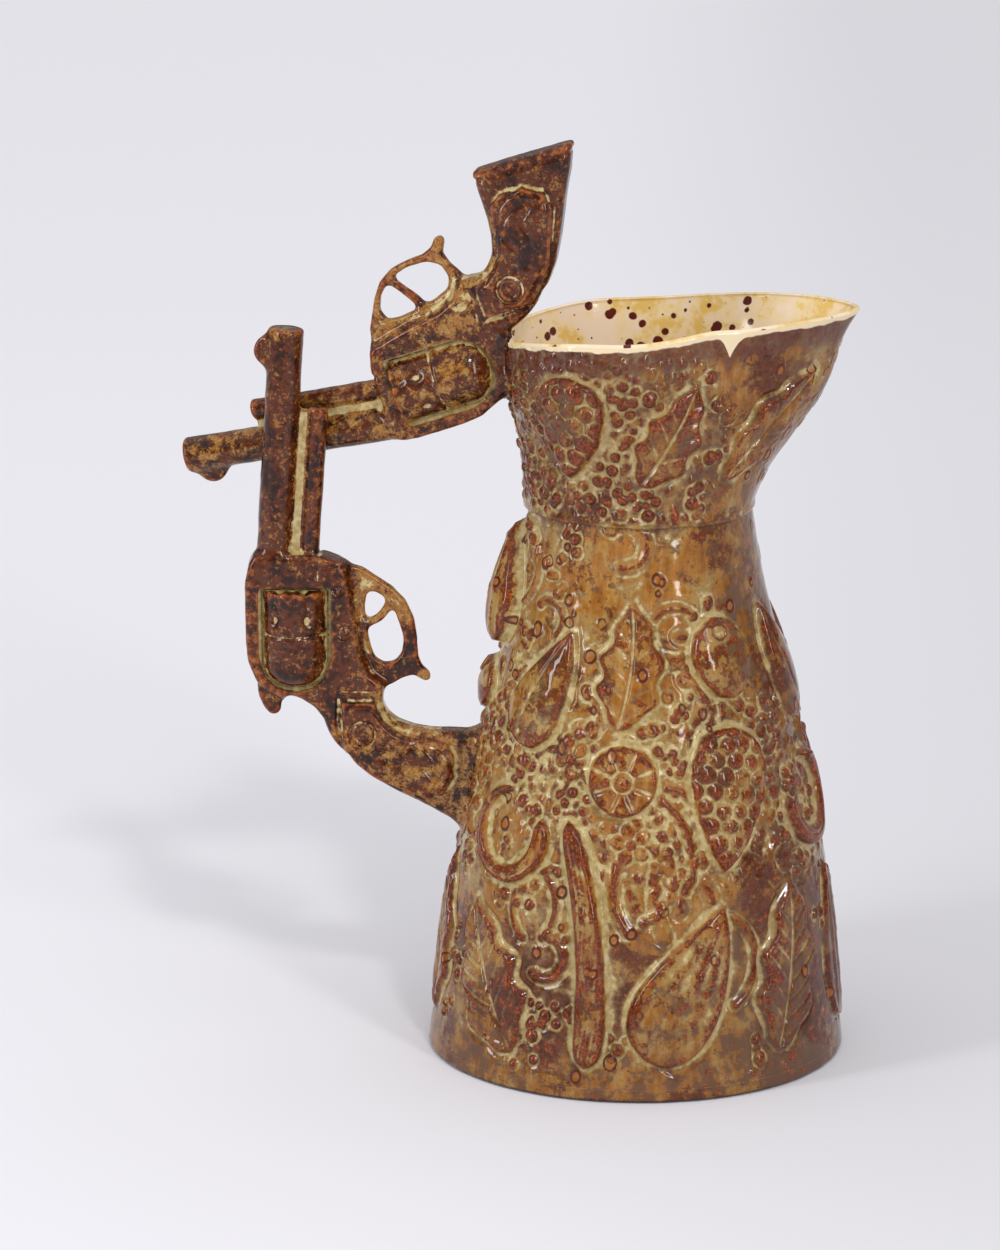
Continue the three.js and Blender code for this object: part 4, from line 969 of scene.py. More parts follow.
def collar_skin(surfaces):
    columns, rows, lip_rows, inner_rows = ((1000, 150, 8, 84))
    row = turn_row(columns)
    rise = np.linspace(0, 1, rows)[:, None]
    top = rim_height(row) - LIP_ROUNDING
    start = COLLAR_FOOT + 0.9 * noise(around(row, NECK_RADIUS, COLLAR_FOOT), 14, 21, 2)
    heights = start + (top - start) * rise
    turns = row + 0 * rise
    base = around(turns, collar_radius(turns, heights), heights)
    skin = Skin(turns, heights, collar_radius, 0.5 * noise(base, 26, 22, 2) + 0.2 * noise(base, 6, 23, 2))
    grain = smoothstep(0.1, 0.45, np.cos(turns + 0.75) + 0.4 * noise(base, 24, 24))
    grain = grain * smoothstep(330, 312, heights) * smoothstep(COLLAR_FOOT, COLLAR_FOOT + 8, heights)
    skin.add_reliefs(COLLAR_RELIEFS, 1, NECK_HEIGHT, noise(base, 15, 29, 2))
    edge = skin.edge
    skin.field += 0.34 * (noise(base, 6.0, 30, 2) - 0.8) * smoothstep(0.5, 3.5, edge)
    skin.cover = smoothstep(-0.6, -3.0, edge) * smoothstep(0, 0.5, grain)
    skin.add_blossoms(14, 5, 34, edge, 258, 312)
    skin.add_buds(40, 3, 35, edge, 256, 316)
    skin.add_pebbles(base, 4.8, 25, skin.cover, 1.3, 0.6)
    rims, hearts = skin.add_blisters(70, 0, 26, grain * 3 - 0.9, 256, 322)
    lip = rim_height(turns) - heights
    faded = smoothstep(0, 4, lip) * smoothstep(-0.5, 2.5, heights - start)
    skin.field = skin.field * faded
    skin.owner = np.where((edge > -0.4) & (faded > 0.99), skin.owner, -1)
    drip = 9.5 * np.clip(1 - np.abs(np.degrees(turns) - 38) / 6.5, 0, 1) ** 2.4
    marks = {"grain": grain, "ring": rims, "heart": hearts, "lip": lip - drip}
    # Darker on the granular part, and painted shade towards the spout's side
    marks["shade"] = 0.65 * grain + 0.45 * smoothstep(0.4, 0.9, np.sin(turns))
    marks["scorch"] = scorch_marks(turns, heights, COLLAR_SCORCHES)
    layers = skin.layers(COLLAR_RISE / rows, COLLAR_GIRTH / columns, **marks)

    def outer(lift):
        return around(turns, collar_radius(turns, heights) + lift, heights)

    rim = rim_radius(row)
    angles = np.linspace(0, pi, lip_rows + 2)[1:-1, None]
    waver = 0.3 * (noise(around(row, rim, 0), 16, 27, 2) - 1.6)
    blob = bell(np.mod(np.degrees(row) + 180, 360) - 180 + 80, 4.5)
    lip_radius = rim - LIP_THICKNESS / 2 + (LIP_THICKNESS / 2) * np.cos(angles) * (1 + blob) + waver
    lip_points = around(row, lip_radius, top + (LIP_ROUNDING + 2.2 * blob) * np.sin(angles))
    inner_rise = np.linspace(1, 0, inner_rows)[:, None]
    seat = NECK_HEIGHT + LUTING_GAP
    inner_radius = NECK_RADIUS - WALL_THICKNESS
    inner_radius = inner_radius + (rim - LIP_THICKNESS - inner_radius) * collar_flare(row, inner_rise)
    inner_points = around(row, inner_radius, seat + (top - seat) * inner_rise)
    lapped = NECK_RADIUS + LUTING_GAP
    lap_points = [around(row, lapped, seat), around(row, lapped, start)]
    inner = np.concatenate([lip_points, inner_points, *lap_points])
    name = "pouring_collar_glazed"
    collar, patches = closed_skin(name, skin, outer, inner, COLLAR_RELIEFS, layers, dot_distance, surfaces)
    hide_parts("pouring_collar")
    return [collar, *patches]


# Revolver casts, each in its own side plane: x to the muzzle, y to the top strap, z to the viewer
FRAME_HALF = 8.0
GRIP_HALF = 7.5
PANEL_THICKNESS = 3.8
FRAME_FRONT = 38.1
CYLINDER_RADIUS = 14.8
CYLINDER_REAR = -21.8
CYLINDER_FRONT = 22.4
BARREL_RADIUS = 7.75
EJECTOR_RADIUS = 4.35
EJECTOR_DROP = 15.7
EJECTOR_SHORTER = 34.0
SIGHT_RADIUS = 7.0
SIGHT_FROM_MUZZLE = 10.4
MEDALLION_RADIUS = 5.3
MEDALLION_AT = (-42.2, -29.2)
GUARD_HALF = 2.7
SHELL_THICKNESS = 0.7
WINDOW_FLOOR = 4.4
# The lowest corner of a cast's grid, and its reach past the muzzle, up and to the viewer
GRID_LOW = (-94.0, -94.0, -18.0)
GRID_REACH = (4, 29.0, 18.0)
FRAME_BOTTOM = [(-22.5, -38.6), (-20, -38), (-15.8, -32.5), (-6.8, -28.5), (8, -26.8), (20.9, -24.7)]
FRAME_BOTTOM += [(34, -22.1), (37.2, -14.7), (FRAME_FRONT, -10.7)]
FRAME_TOP = [(FRAME_FRONT, 17.8), (34, 20.2), (25.4, 21.7), (-1.8, 21.7), (-10, 20.8), (-20.4, 16.2)]
FRAME_TOP += [(-27.2, 6.4), (-25.4, 2), (-27, -2), (-30.4, -7.7), (-36.5, -12.5), (-43.3, -15.4)]
FRAME_TOP += [(-49.6, -19.4), (-27, -18.9), (-27, -37.4)]
GRIP_BACK = [(-24, -14), (-36.5, -12.9), (-43.3, -15.4), (-50.8, -20.4), (-57.8, -26), (-63.6, -33.2)]
GRIP_BACK += [(-69.8, -44), (-76.2, -57), (-83.4, -69.4)]
BUTT = [(-88.6, -80.6), (-42.6, -81.6)]
GRIP_FRONT = [(-42, -69), (-41.8, -60.2), (-40.4, -51.6), (-38, -45), (-33.6, -40.2)]
GRIP_FRONT += [(-29, -38.3), (-24, -38.2)]
PANEL = [(-27.6, -20), (-49, -20.9), (-56.4, -27.2), (-62, -34.2), (-67, -45.4), (-72, -57.6)]
PANEL += [(-70.5, -64.5), (-62, -69.6), (-52.4, -69.8), (-46.2, -66.2), (-45.4, -60.5), (-43.8, -51.8)]
PANEL += [(-41.3, -45.2), (-36.6, -39.8), (-31, -36), (-27.6, -35.6)]
GUARD_OUTER = [(34, -20), (31.6, -29.5), (26.6, -36.8), (22.6, -42.8), (16.7, -48.4), (8.4, -52.2)]
GUARD_OUTER += [(-0.9, -53.6), (-8.6, -53.9), (-13.2, -55.6), (-16.2, -59.2), (-19.2, -59.6)]
GUARD_OUTER += [(-20.4, -57), (-17.4, -51.6), (-18.9, -46.6), (-21.6, -42.4), (-22.6, -36), (-15, -28)]
GUARD_OPENING = [(20.2, -31.6), (20.6, -35), (17.6, -39.4), (12, -43.2), (5.2, -45.8), (-1.2, -47.2)]
GUARD_OPENING += [(-7.2, -46.4), (-11, -43.4), (-11.8, -38.8), (-9, -35), (-3.4, -32.9), (4, -31.8)]
GUARD_OPENING += [(13.4, -30.6)]
WIDE_OPENING = [(20.2, -31.6), (22, -36.2), (19, -41.6), (13.2, -46.1), (5.6, -49.1), (-2, -50.6)]
WIDE_OPENING += [(-10, -50.2), (-14.9, -47), (-16.5, -41), (-14, -36.4), (-6, -33.2), (4, -31.8)]
WIDE_OPENING += [(13.4, -30.8)]
HAMMER = [(-18.6, 12.6), (-21, 17), (-27, 16.4), (-32, 14.2), (-35.2, 11.4), (-35.4, 8.4), (-33, 6.4)]
HAMMER += [(-29.5, 6.4), (-27, 4.4), (-25.5, 2.6)]
CYLINDER_WINDOW = [(23.4, 15.9), (-8, 15.9), (-16, 13.4), (-21.4, 8.4), (-23.6, 0), (-21.4, -8.4)]
CYLINDER_WINDOW += [(-16, -13.4), (-8, -15.9), (23.4, -15.9)]
# Where each cast sits and how it differs: "points" and "yaw" are the muzzle's angles in degrees,
# "nose" shortens the frame's front, and "root" and "droop" place the barrel
LOWER_CAST = {"prefix": "lower", "at": (-150.1, 186.4), "points": 90, "yaw": 0, "nose": 1.0, "root": 9.6}
LOWER_CAST |= {"droop": 3.9, "barrel": 100.0, "butt_reach": 6.3, "opening": GUARD_OPENING}
LOWER_CAST["trigger"] = [(5.5, -27), (6.9, -33.5), (10.4, -38.4), (18.5, -43.5)]
UPPER_CAST = {"prefix": "upper", "at": (-83.4, 303.1), "points": 200, "yaw": 11, "nose": 0.8, "root": 13.6}
UPPER_CAST |= {"droop": 8.0, "barrel": 94.4, "butt_reach": 0.0, "opening": WIDE_OPENING}
UPPER_CAST["trigger"] = [(-2, -27), (0.8, -35), (5.4, -41), (12.5, -49)]
# Lines engraved on both sides of each cast
FRAME_LINES = [
    [(38, -11), (24, -10.4), (22.4, -17)],
    [(-23.5, -20), (-23.5, -36)],
    [(-26.8, -18.6), (-38, -18.2), (-48, -19.6)],
    [(33, -21), (33, -13)],
    [(-53, -23.4), (-60.5, -32), (-66.6, -44), (-72.6, -57), (-78, -67.5)],
]
GRIP_LINES = [
    [(-50, -24), (-58, -32), (-63.5, -44), (-69, -57), (-76, -71)],
    [(-33, -35.5), (-41, -43.5), (-46, -55), (-50, -64), (-60, -70)],
    [(-47.5, -36), (-50, -45), (-47, -53), (-52, -60), (-61, -63), (-69, -60)],
    [(-53, -37), (-58, -47), (-57, -55), (-62, -60)],
]


def smooth_union(first, second, blend):
    near = np.maximum(blend - np.abs(first - second), 0) / blend
    return np.minimum(first, second) - near * near * blend / 4


def rounded_meet(first, second, rounding):
    """The overlap of two shapes, with its outer edge rounded."""
    a, b = first + rounding, second + rounding
    return np.hypot(np.maximum(a, 0), np.maximum(b, 0)) + np.minimum(np.maximum(a, b), 0) - rounding


def segment_square(ax, ay, bx, by, x, y):
    """Square of the distance to the straight line between two points."""
    share = ((x - ax) * (bx - ax) + (y - ay) * (by - ay)) / ((bx - ax) ** 2 + (by - ay) ** 2)
    share = np.clip(share, 0, 1)
    return (x - ax - share * (bx - ax)) ** 2 + (y - ay - share * (by - ay)) ** 2


def outline_distance(outline, x, y):
    """Distance to a closed outline, negative inside it."""
    nearest = np.full(np.broadcast(x, y).shape, 1e9)
    inside = np.zeros(nearest.shape, bool)
    for (ax, ay), (bx, by) in zip(outline, outline[1:] + outline[:1]):
        nearest = np.minimum(nearest, segment_square(ax, ay, bx, by, x, y))
        inside ^= ((ay > y) != (by > y)) & (x < (bx - ax) * (y - ay) / ((by - ay) or 1e-9) + ax)
    return np.where(inside, -1, 1) * np.sqrt(nearest)


def line_distance(corners, x, y):
    """Distance to a smooth open line through the corners."""
    knots = [(index, *corner) for index, corner in enumerate(corners)]
    shares = np.linspace(0, len(corners) - 1, 8 * len(corners))
    path = np.stack([through(knots, shares, 1), through(knots, shares, 2)], -1)
    nearest = np.full(np.broadcast(x, y).shape, 1e9)
    for start, end in zip(path[:-1], path[1:]):
        nearest = np.minimum(nearest, segment_square(*start, *end, x, y))
    return np.sqrt(nearest)


def shortened(outline, nose):
    """An outline with its front, ahead of the middle, drawn back."""
    return [(x * nose if x > 0 else x, y) for x, y in outline]


def deep(flat):
    return flat[:, :, None].astype(np.float32)


def sampled(field, places):
    """Values of a 3-D field at places given in cells."""
    low = np.clip(np.floor(places).astype(int), 0, np.array(field.shape) - 2)
    share = places - low
    total = np.zeros(len(places))
    for corner in np.ndindex(2, 2, 2):
        part = np.prod(np.where(corner, share, 1 - share), 1)
        total += part * field[tuple((low + np.array(corner)).T)]
    return total


def outward(field, places):
    """Outward direction of a 3-D distance field at places given in cells."""
    slopes = [sampled(field, places + step) - sampled(field, places - step) for step in 0.7 * np.eye(3)]
    return unit(np.stack(slopes, 1))


def surface_net(field):
    """Points, in cells, and four-sided faces of the surface where a 3-D field passes nought."""
    inside = field < 0
    shape = np.array(field.shape) - 1
    count = np.zeros(shape, np.int8)
    for corner in np.ndindex(2, 2, 2):
        count += inside[tuple(slice(c, c + n) for c, n in zip(corner, shape))]
    cells = np.argwhere((count > 0) & (count < 8))
    number = np.full(shape, -1, np.int64)
    number[tuple(cells.T)] = np.arange(len(cells))
    total, crossings = np.zeros((len(cells), 3)), np.zeros(len(cells))
    steps = np.eye(3, dtype=int)
    for axis, forward in enumerate(steps):
        for side in np.ndindex(2, 2):
            start = cells + side @ np.delete(steps, axis, 0)
            a, b = field[tuple(start.T)], field[tuple((start + forward).T)]
            crossing = (a < 0) != (b < 0)
            share = np.where(crossing, a / np.where(crossing, a - b, 1), 0)
            total += np.where(crossing[:, None], start + share[:, None] * forward, 0)
            crossings += crossing
    faces = []
    for axis in range(3):
        others = [(axis + 1) % 3, (axis + 2) % 3]
        one, two = steps[others]
        edges = np.argwhere(np.diff(inside, axis=axis))
        fits = ((edges[:, others] > 0) & (edges[:, others] < shape[others])).all(1)
        edges = edges[fits]
        quads = np.stack([number[tuple((edges - back).T)] for back in (0 * one, one, one + two, two)], 1)
        leaving = inside[tuple(edges.T)]
        faces.append(np.where(leaving[:, None], quads, quads[:, ::-1]))
    return total / crossings[:, None], np.vstack(faces)


def stretched(field, shape, coarse):
    """A coarse 3-D field, held within 12 mm of nought, filled in to a grid that many times finer."""
    field = np.clip(field, -12, 12).astype(np.float32)
    for axis in range(3):
        at = np.arange(shape[axis]) / coarse
        low = np.floor(at).astype(int)
        share = (at - low).astype(np.float32).reshape([-1 if a == axis else 1 for a in range(3)])
        field = np.take(field, low, axis) * (1 - share) + np.take(field, low + 1, axis) * share
    return field


def cast_axes(cast):
    """A cast's directions to the muzzle and up."""
    points, yaw = radians(cast["points"]), radians(cast["yaw"])
    forward = np.array([cos(points) * cos(yaw), sin(yaw), sin(points) * cos(yaw)])
    return forward, np.array([-sin(points), 0, cos(points)])


def barrel_line(cast):
    """The root and the direction of a cast's barrel, for a cast that isn't moved sideways."""
    forward, up = cast_axes(cast)
    droop = radians(cast["droop"])
    root = np.array([cast["at"][0], 0, cast["at"][1]])
    root = root + forward * FRAME_FRONT * cast["nose"] + up * cast["root"]
    return root, forward * cos(droop) - up * sin(droop)


def upper_sideways():
    """How far back the upper cast sits so that its barrel rests against the lower one's."""
    (lower_root, lower_along), (upper_root, upper_along) = barrel_line(LOWER_CAST), barrel_line(UPPER_CAST)
    across = np.cross(lower_along, upper_along)
    across = across / np.linalg.norm(across)
    if across[1] < 0:
        across = -across
    return (2 * BARREL_RADIUS + LUTING_GAP - (upper_root - lower_root) @ across) / across[1]


def wall_distance(points):
    """Rough distance outside the wall or the collar. Level distances are a little longer than true
    ones, since both surfaces slope."""
    slope_share, collar_top = 0.93, 345
    heights = points[..., 2]
    turns, flat = from_axis(points)
    body_away = flat - from_axis(wall_point(turns, np.clip(heights, 0, NECK_HEIGHT), 0))[1]
    body_away = np.where(heights > NECK_HEIGHT, np.maximum(body_away, heights - NECK_HEIGHT), body_away)
    collar_away = flat - collar_radius(turns, np.clip(heights, COLLAR_FOOT, collar_top))
    over_rim = heights - rim_height(turns)
    collar_away = np.maximum(collar_away, np.maximum(over_rim, COLLAR_FOOT - heights))
    return slope_share * np.minimum(body_away, collar_away)


class Cast:
    """One revolver cast: the distance fields of its pieces on a grid in its own side plane."""

    def __init__(self, settings, sideways):
        self.settings, self.nose = settings, settings["nose"]
        self.front = FRAME_FRONT * self.nose
        self.muzzle = self.front + settings["barrel"]
        self.cell = 0.5
        forward, up = cast_axes(settings)
        self.axes = np.stack([forward, up, np.cross(forward, up)])
        self.origin = np.array([settings["at"][0], sideways, settings["at"][1]])
        self.low = np.array(GRID_LOW)
        high = np.array(GRID_REACH) + (self.muzzle, 0, 0)
        self.shape = tuple(np.ceil((high - self.low) / self.cell).astype(int) + 1)
        x, y, z = (low + self.cell * np.arange(n, dtype=np.float32) for low, n in zip(self.low, self.shape))
        self.x, self.y, self.z = x[:, None], y[None, :], z[None, None, :]
        self.x3, self.y3 = self.x[:, :, None], self.y[:, :, None]

    def flat(self, outline, soften=1.0):
        distance = outline_distance(shortened(outline, self.nose), self.x, self.y)
        return smoothed(distance, soften / self.cell)

    def plate(self, flat, half, rounding):
        return rounded_meet(flat[:, :, None], np.abs(self.z) - half, rounding).astype(np.float32)

    def along_barrel(self, x, y):
        """Places along the barrel and above its middle line."""
        droop = radians(self.settings["droop"])
        x, y = x - (self.front - BARREL_RADIUS), y - self.settings["root"]
        return x * cos(droop) - y * sin(droop), x * sin(droop) + y * cos(droop)

    def rod(self, along, up, radius, length, rounding):
        ends = np.maximum(-along, along - length)
        return rounded_meet(np.hypot(up, self.z) - radius, ends, rounding).astype(np.float32)

    def cylinder(self):
        """The fluted cylinder, its back domed, with a groove and notches."""
        radius = np.hypot(self.y3, self.z)
        domed = rounded_meet(radius - CYLINDER_RADIUS, CYLINDER_REAR - self.x3, 11.5)
        solid = rounded_meet(domed, self.x3 - CYLINDER_FRONT, 1.6) + 0.7 * bell(self.x3 - 2.8, 0.75)
        angle = np.degrees(np.arctan2(self.y3, self.z))
        spread = np.radians(np.mod(angle - 6, 60) - 30) * CYLINDER_RADIUS
        notch = np.exp(-(((self.x3 - 10) / 2.4) ** 2) - (spread / 1.9) ** 2)
        flute = bell(spread, 1.9) * smoothstep(12, 18, self.x3)
        return (solid + 1.5 * notch + 0.9 * flute).astype(np.float32)

    def frame(self, cylinder):
        butt = [(x, y - self.settings["butt_reach"]) for x, y in BUTT]
        receiver = self.plate(self.flat(FRAME_BOTTOM + FRAME_TOP), FRAME_HALF, 2.8)
        grip = self.plate(self.flat(GRIP_BACK + butt + GRIP_FRONT, 1.4), GRIP_HALF, 5.0)
        (ax, ay), (bx, by) = butt
        past_butt = ((self.x - ax) * (by - ay) - (self.y - ay) * (bx - ax)) / hypot(bx - ax, by - ay)
        cap = 0.4 * smoothstep(3.4, 2.4, -past_butt) - 0.4 * bell(-past_butt - 4.0, 0.9)
        solid = smooth_union(receiver, grip - deep(cap), 3.0)
        for line in FRAME_LINES:
            solid = solid + 0.6 * deep(bell(line_distance(line, self.x, self.y), 0.9))
        for x, y, size in ((3.5, -21.8, 2.3), (22.5, -19, 1.9)):
            away = np.hypot(self.x - x, self.y - y)
            solid = solid + deep(0.55 * bell(away - size, 0.6) - 0.4 * bell(away, 1.3))
        window = smoothed(outline_distance(CYLINDER_WINDOW, self.x, self.y), 1.0 / self.cell)
        cut = np.maximum(window[:, :, None], WINDOW_FLOOR - np.abs(self.z)).astype(np.float32)
        return np.maximum(np.maximum(solid, -cut), 0.9 - cylinder)

    def grip_sides(self):
        """The two grip panels and their medallions, as one field each."""
        flat = self.flat(PANEL, 0.7)
        away = np.hypot(self.x - MEDALLION_AT[0], self.y - MEDALLION_AT[1])
        carved = 0.5 * bell(flat + 1.9, 0.8)
        for line in GRIP_LINES:
            carved = carved + 0.6 * bell(line_distance(line, self.x, self.y), 1.1)
        carved = np.where(away < 7.5, 0, carved) + smoothstep(6.7, 5.9, away)
        top = GRIP_HALF + PANEL_THICKNESS
        panel = self.plate(flat, top, 2.4) + deep(carved)
        ring = 0.9 * bell(away - 4.0, 1.1) + 0.9 * bell(away, 1.5)
        disc = self.plate(away - MEDALLION_RADIUS, top - 0.9, 0.8) - deep(ring)
        core = (GRIP_HALF - 1.5) - np.abs(self.z)
        return np.maximum(panel, core), np.maximum(disc, core + 2)

    def pieces(self):
        """Distance fields of the pieces, each with the blend that joins it to those before."""
        cylinder = self.cylinder()
        along, up = self.along_barrel(self.x3, self.y3)
        length = self.settings["barrel"] + BARREL_RADIUS
        tube_length = length - EJECTOR_SHORTER
        barrel = self.rod(along, up, BARREL_RADIUS, length, 1.8)
        tube = self.rod(along, up + EJECTOR_DROP, EJECTOR_RADIUS, tube_length, 1.6)
        web = rounded_meet(np.abs(up + EJECTOR_DROP / 2) - EJECTOR_DROP / 2, np.abs(self.z) - 2.2, 0.3)
        web = np.maximum(web, np.maximum(-along, along - tube_length + 1.4)).astype(np.float32)
        sight_away = np.hypot(along - length + SIGHT_FROM_MUZZLE, up - BARREL_RADIUS + 1)
        sight = rounded_meet(sight_away - SIGHT_RADIUS, np.abs(self.z) - 1.9, 1.6).astype(np.float32)
        opening = self.flat(self.settings["opening"], 1.2)
        guard = self.plate(np.maximum(self.flat(GUARD_OUTER, 0.9), -opening), GUARD_HALF, 2.0)
        trigger_line = shortened(self.settings["trigger"], self.nose)
        trigger = self.plate(line_distance(trigger_line, self.x, self.y) - 2.0, 2.2, 1.9)
        trigger = np.maximum(trigger, deep(opening) - 1.2)
        panels, medallions = self.grip_sides()
        fields = [
            ("frame", self.frame(cylinder), 1),
            ("cylinder", cylinder, 1.7),
            ("barrel", barrel, 3.5),
            ("ejector_tube", smooth_union(tube, web, 1.5), 2.2),
            ("front_sight", sight, 4.0),
            ("trigger_guard", guard, 4.0),
            ("trigger", trigger, 3.0),
        ]
        for side, half in (("near", -self.z), ("far", self.z)):
            fields.append((side + "_grip_panel", np.maximum(panels, half), 0.9))
            fields.append((side + "_medallion", np.maximum(medallions, half), 0.6))
        if self.settings["prefix"] == "lower":
            fields.append(("hammer", self.plate(self.flat(HAMMER), 3.2, 2.2), 2.5))
        return fields

    def world(self, places):
        """Points in the jug's own frame, in millimetres, from places in this cast's."""
        return self.origin + places @ self.axes

    def luted(self, fused):
        """The cast's solid with clay run into its joint with the jug, cut off inside the wall."""
        coarse, blend = 6, 7.0
        spacing = self.cell * coarse
        grid = [start + spacing * np.arange(n // coarse + 2) for start, n in zip(self.low, self.shape)]
        places = self.world(np.stack(np.meshgrid(*grid, indexing="ij"), -1))
        turns, flat = from_axis(places)
        mouth = rim_radius(turns) - LIP_THICKNESS - flat
        away = stretched(wall_distance(places), self.shape, coarse)
        into_mouth = stretched(mouth, self.shape, coarse)
        joined = np.maximum(smooth_union(fused, away, blend), fused - 0.8 * blend)
        joined = np.maximum(joined, np.minimum(fused, into_mouth))
        return np.maximum(joined, -(away + 1.5)), away

    def pale_share(self, local):
        """How far a place is covered by pale run glaze: mostly the trigger guard."""
        x, y = local[:, 0], local[:, 1]
        opening = shortened(self.settings["opening"], self.nose)
        trigger = [(px * self.nose, py) for px, py in self.settings["trigger"]]
        on_guard = smoothstep(-24, -31, y) * (x > -24)
        guard = smoothstep(7.0, 2.0, np.abs(outline_distance(opening, x, y))) * on_guard
        guard = guard * (1 - 0.6 * smoothstep(4.5, 2.5, line_distance(trigger, x, y)))
        below = self.along_barrel(x, y)[1]
        groove_middle = (BARREL_RADIUS + EJECTOR_DROP - EJECTOR_RADIUS) / 2
        groove = smoothstep(2.6, 0.9, np.abs(below + groove_middle)) * (x > self.front)
        groove = groove * (x < self.muzzle - EJECTOR_SHORTER)
        strap = smoothstep(5, 1.5, np.abs(line_distance(GRIP_FRONT[::-1], x, y))) * (y > -64)
        at_muzzle = 0.4 * smoothstep(self.muzzle - 6, self.muzzle - 2, x)
        spur = 1.5 * smoothstep(6, 3, np.hypot(x + 18, y + 58))
        shares = [guard, groove, at_muzzle, spur]
        if self.settings["prefix"] == "upper":
            shares.append((0.85 - 0.5 * smoothstep(-40, -46, y)) * strap)
            shares.append(0.9 * smoothstep(9, 4, np.hypot(x + 18, y + 31)))
            shares.append(0.5 * smoothstep(13, 6, np.hypot(x + 13, y + 21)))
            shares.append(0.34 * smoothstep(-27, -20, x) + 0.12 * smoothstep(30, 45, x))
            return np.max(shares, 0)
        shares.append(0.85 * strap)
        outer_half = smoothstep(7.4, 9.4, np.hypot(x + 2, y + 38)) * smoothstep(8, 2, x) * on_guard
        bare_half = np.max(shares[:3] + shares[4:], 0) * (1 - 0.8 * outer_half)
        return np.max([bare_half, smoothstep(4, 9, x) * on_guard, spur, 0.5 * smoothstep(-30, -48, x)], 0)


def cast_pieces(settings, sideways, surface):
    """The pieces of one cast, cut from a single flowing surface by the solid that is nearest."""
    cast = Cast(settings, sideways)
    names = []
    owners = np.zeros(cast.shape, np.int8)
    for index, (name, field, blend) in enumerate(cast.pieces()):
        names.append(name)
        field = np.broadcast_to(field, cast.shape).astype(np.float32)
        if index == 0:
            fused, nearest = field, field
            continue
        owners[field < nearest] = index
        nearest = np.minimum(nearest, field)
        fused = smooth_union(fused, field, blend).astype(np.float32)
    fused, away = cast.luted(fused)
    around_all = np.clip(np.minimum(fused, away), -6, 6).astype(np.float32)
    places, faces = surface_net(fused)
    normals = outward(fused, places)
    places = places - normals * np.clip(sampled(fused, places), -0.4, 0.4)[:, None] / cast.cell
    local = cast.low + places * cast.cell
    points = cast.world(local)
    directions = normals @ cast.axes
    level = sampled(around_all, places)
    layers = {"pale": cast.pale_share(local)}
    for key, reach in (("fine", 1.1), ("broad", 3.0)):
        cells = reach / cast.cell
        layers[key] = sampled(smoothed(around_all, cells, ceil(2.5 * cells)), places) - level
    waver = 0.3 * noise(points, 13, 41, 2) + 0.12 * noise(points, 3.6, 42) - 0.15
    points = points + directions * waver[:, None]
    middles = np.round(places[faces].mean(1)).astype(int)
    face_owner = owners[tuple(middles.T)]

    def underside(used, edge):
        return points[used] - SHELL_THICKNESS * directions[used]

    made = []
    for index, name in enumerate(names):
        node = settings["prefix"] + "_" + name
        own = faces[face_owner == index]
        piece = shell_piece(node, own, points, underside, directions, layers, surface)[0]
        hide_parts(node)
        made.append(piece)
    return made


# Stage, lights and camera, placed in metres
CAMERA_PLACE = Vector((-0.0605, -2.0748, 0.7551))
CAMERA_AIM = Vector((-0.0605, 0, 0.1914))


def floor_paper():
    """Pale paper with painted shade that darkens it a little to the right, and painted light that lightens it
    a little far behind the jug.
    """
    s = Surface("pale_paper")
    # Painted shade: the paper darker to the right
    painted_shade_to_right = s.step(s.total((s.x, 1.0), (s.y, -0.05)), -140, 220)
    colour = s.mix(painted_shade_to_right, paint(236, 235, 240), paint(224, 223, 228))
    # Painted light: the paper lighter far behind the jug, where less lamp light reaches
    far = s.total((s.step(s.y, -500, 1400), 0.17), (0.95, 1.0))
    scaled = s.node("VectorMath", {0: colour, "Scale": far}, operation="SCALE")
    return s.finish(scaled.outputs[0], 0.9, 0.05, 1.5)


def stage():
    size = 30.0
    mesh = bpy.data.meshes.new("floor")
    corners = [(-size, -size, 0), (size, -size, 0), (size, size, 0), (-size, size, 0)]
    mesh.from_pydata(corners, [], [(0, 1, 2, 3)])
    floor = placed(bpy.data.objects.new("floor", mesh))
    mesh.materials.append(floor_paper())


def aimed(name, data, place, aim):
    """A lamp or a camera at a place, turned towards its aim."""
    obj = placed(bpy.data.objects.new(name, data))
    obj.location = place
    obj.rotation_euler = (aim - place).to_track_quat("-Z", "Y").to_euler()
    return obj


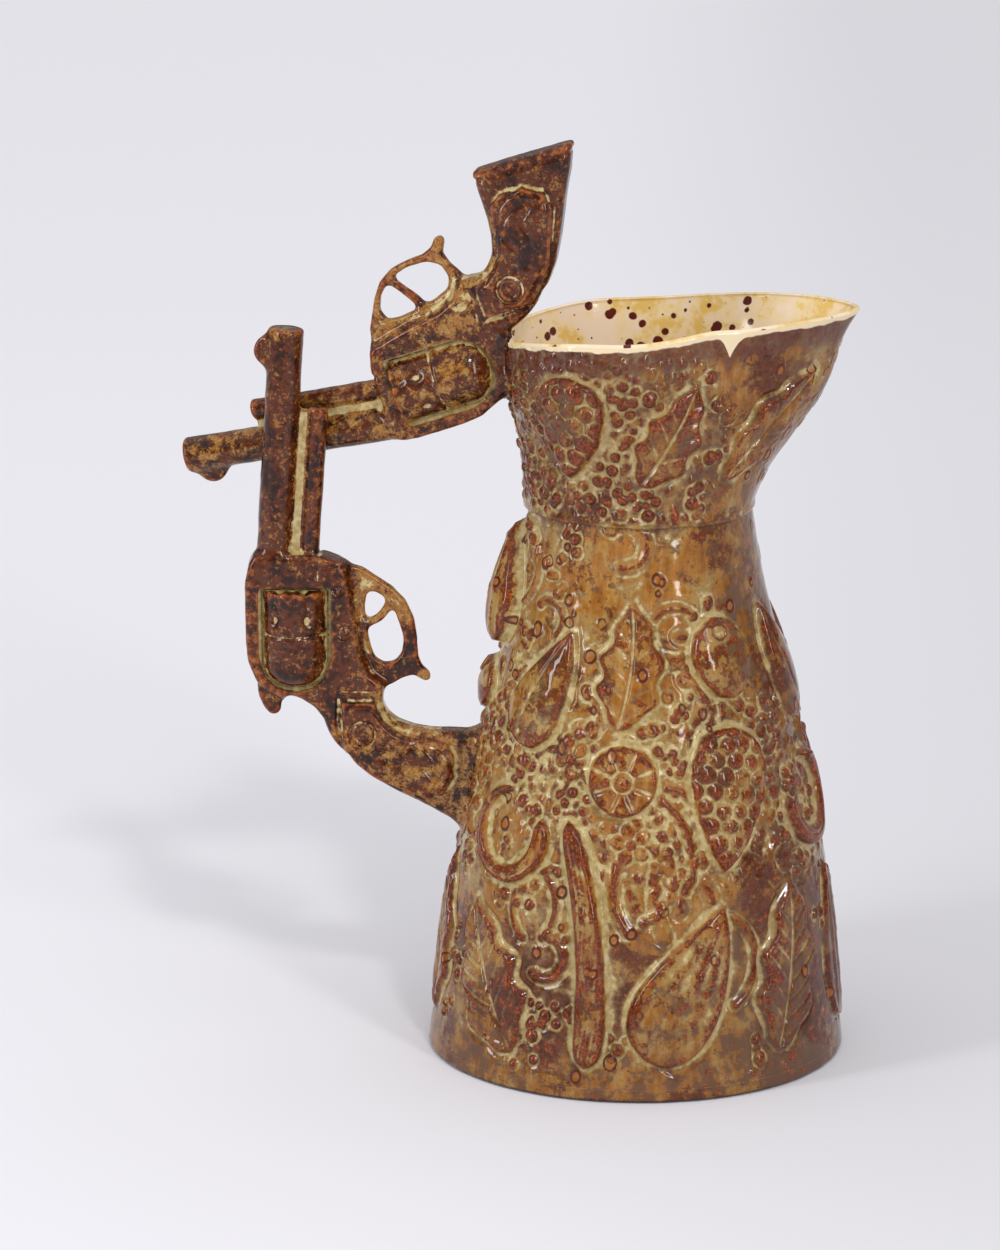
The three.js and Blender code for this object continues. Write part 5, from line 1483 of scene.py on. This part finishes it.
def area_light(name, offset, size, power, colour):
    light = bpy.data.lights.new(name, "AREA")
    light.shape = "RECTANGLE"
    light.size, light.size_y = size
    light.energy = power
    light.color = colour
    aimed(name, light, CAMERA_AIM + Vector(offset), CAMERA_AIM)


def sun_light(name, place, strength, softness, colour):
    light = bpy.data.lights.new(name, "SUN")
    light.energy = strength
    light.angle = radians(softness)
    light.color = colour
    aimed(name, light, Vector(place), Vector((0, 0, 0)))


def soft_sky(tree):
    """Even white light from above that dims towards the walls of the studio."""
    direction = add_node(tree, "TexCoord").outputs["Generated"]
    height = add_node(tree, "SeparateXYZ", {0: direction}).outputs["Z"]
    sockets = {"Value": height, "To Min": 0.2, "To Max": 0.92}
    share = add_node(tree, "MapRange", sockets, interpolation_type="SMOOTHSTEP")
    background = tree.nodes["Background"]
    background.inputs["Color"].default_value = (0.985, 0.985, 1.0, 1.0)
    fill(tree, background.inputs["Strength"], share.outputs["Result"])


def lights_and_camera():
    scene = bpy.context.scene
    sun_light("key", (0.23, -0.71, 0.66), 0.5, 5, (1, 0.985, 0.96))
    sun_light("soft_key", (0.16, -0.84, 0.52), 0.1, 20, (1, 0.99, 0.98))
    area_light("strip", (0.75, -1.15, 0.45), (0.12, 0.9), 6.0, (1, 1, 1))
    area_light("left_strip", (-1.25, -0.75, 0.5), (0.25, 0.9), 9.0, (0.97, 0.985, 1))
    scene.world = bpy.data.worlds.new("studio")
    scene.world.use_nodes = True
    soft_sky(scene.world.node_tree)
    camera = bpy.data.cameras.new("camera")
    camera.sensor_width = 36.0
    camera.lens = 141.4
    scene.camera = aimed("camera", camera, CAMERA_PLACE, CAMERA_AIM)
    scene.view_settings.view_transform = "Standard"


stage()
lights_and_camera()
glazes = [body_glaze("ochre_glaze_surface"), inside_glaze("cream_inside_surface")]
pieces = wall_skin(glazes) + collar_skin(glazes) + foot_skin(glazes)
cast_glaze = umber_glaze("umber_glaze_surface")
pieces += cast_pieces(LOWER_CAST, 0.0, cast_glaze)
pieces += cast_pieces(UPPER_CAST, upper_sideways(), cast_glaze)
for piece in pieces:
    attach(piece, "root")
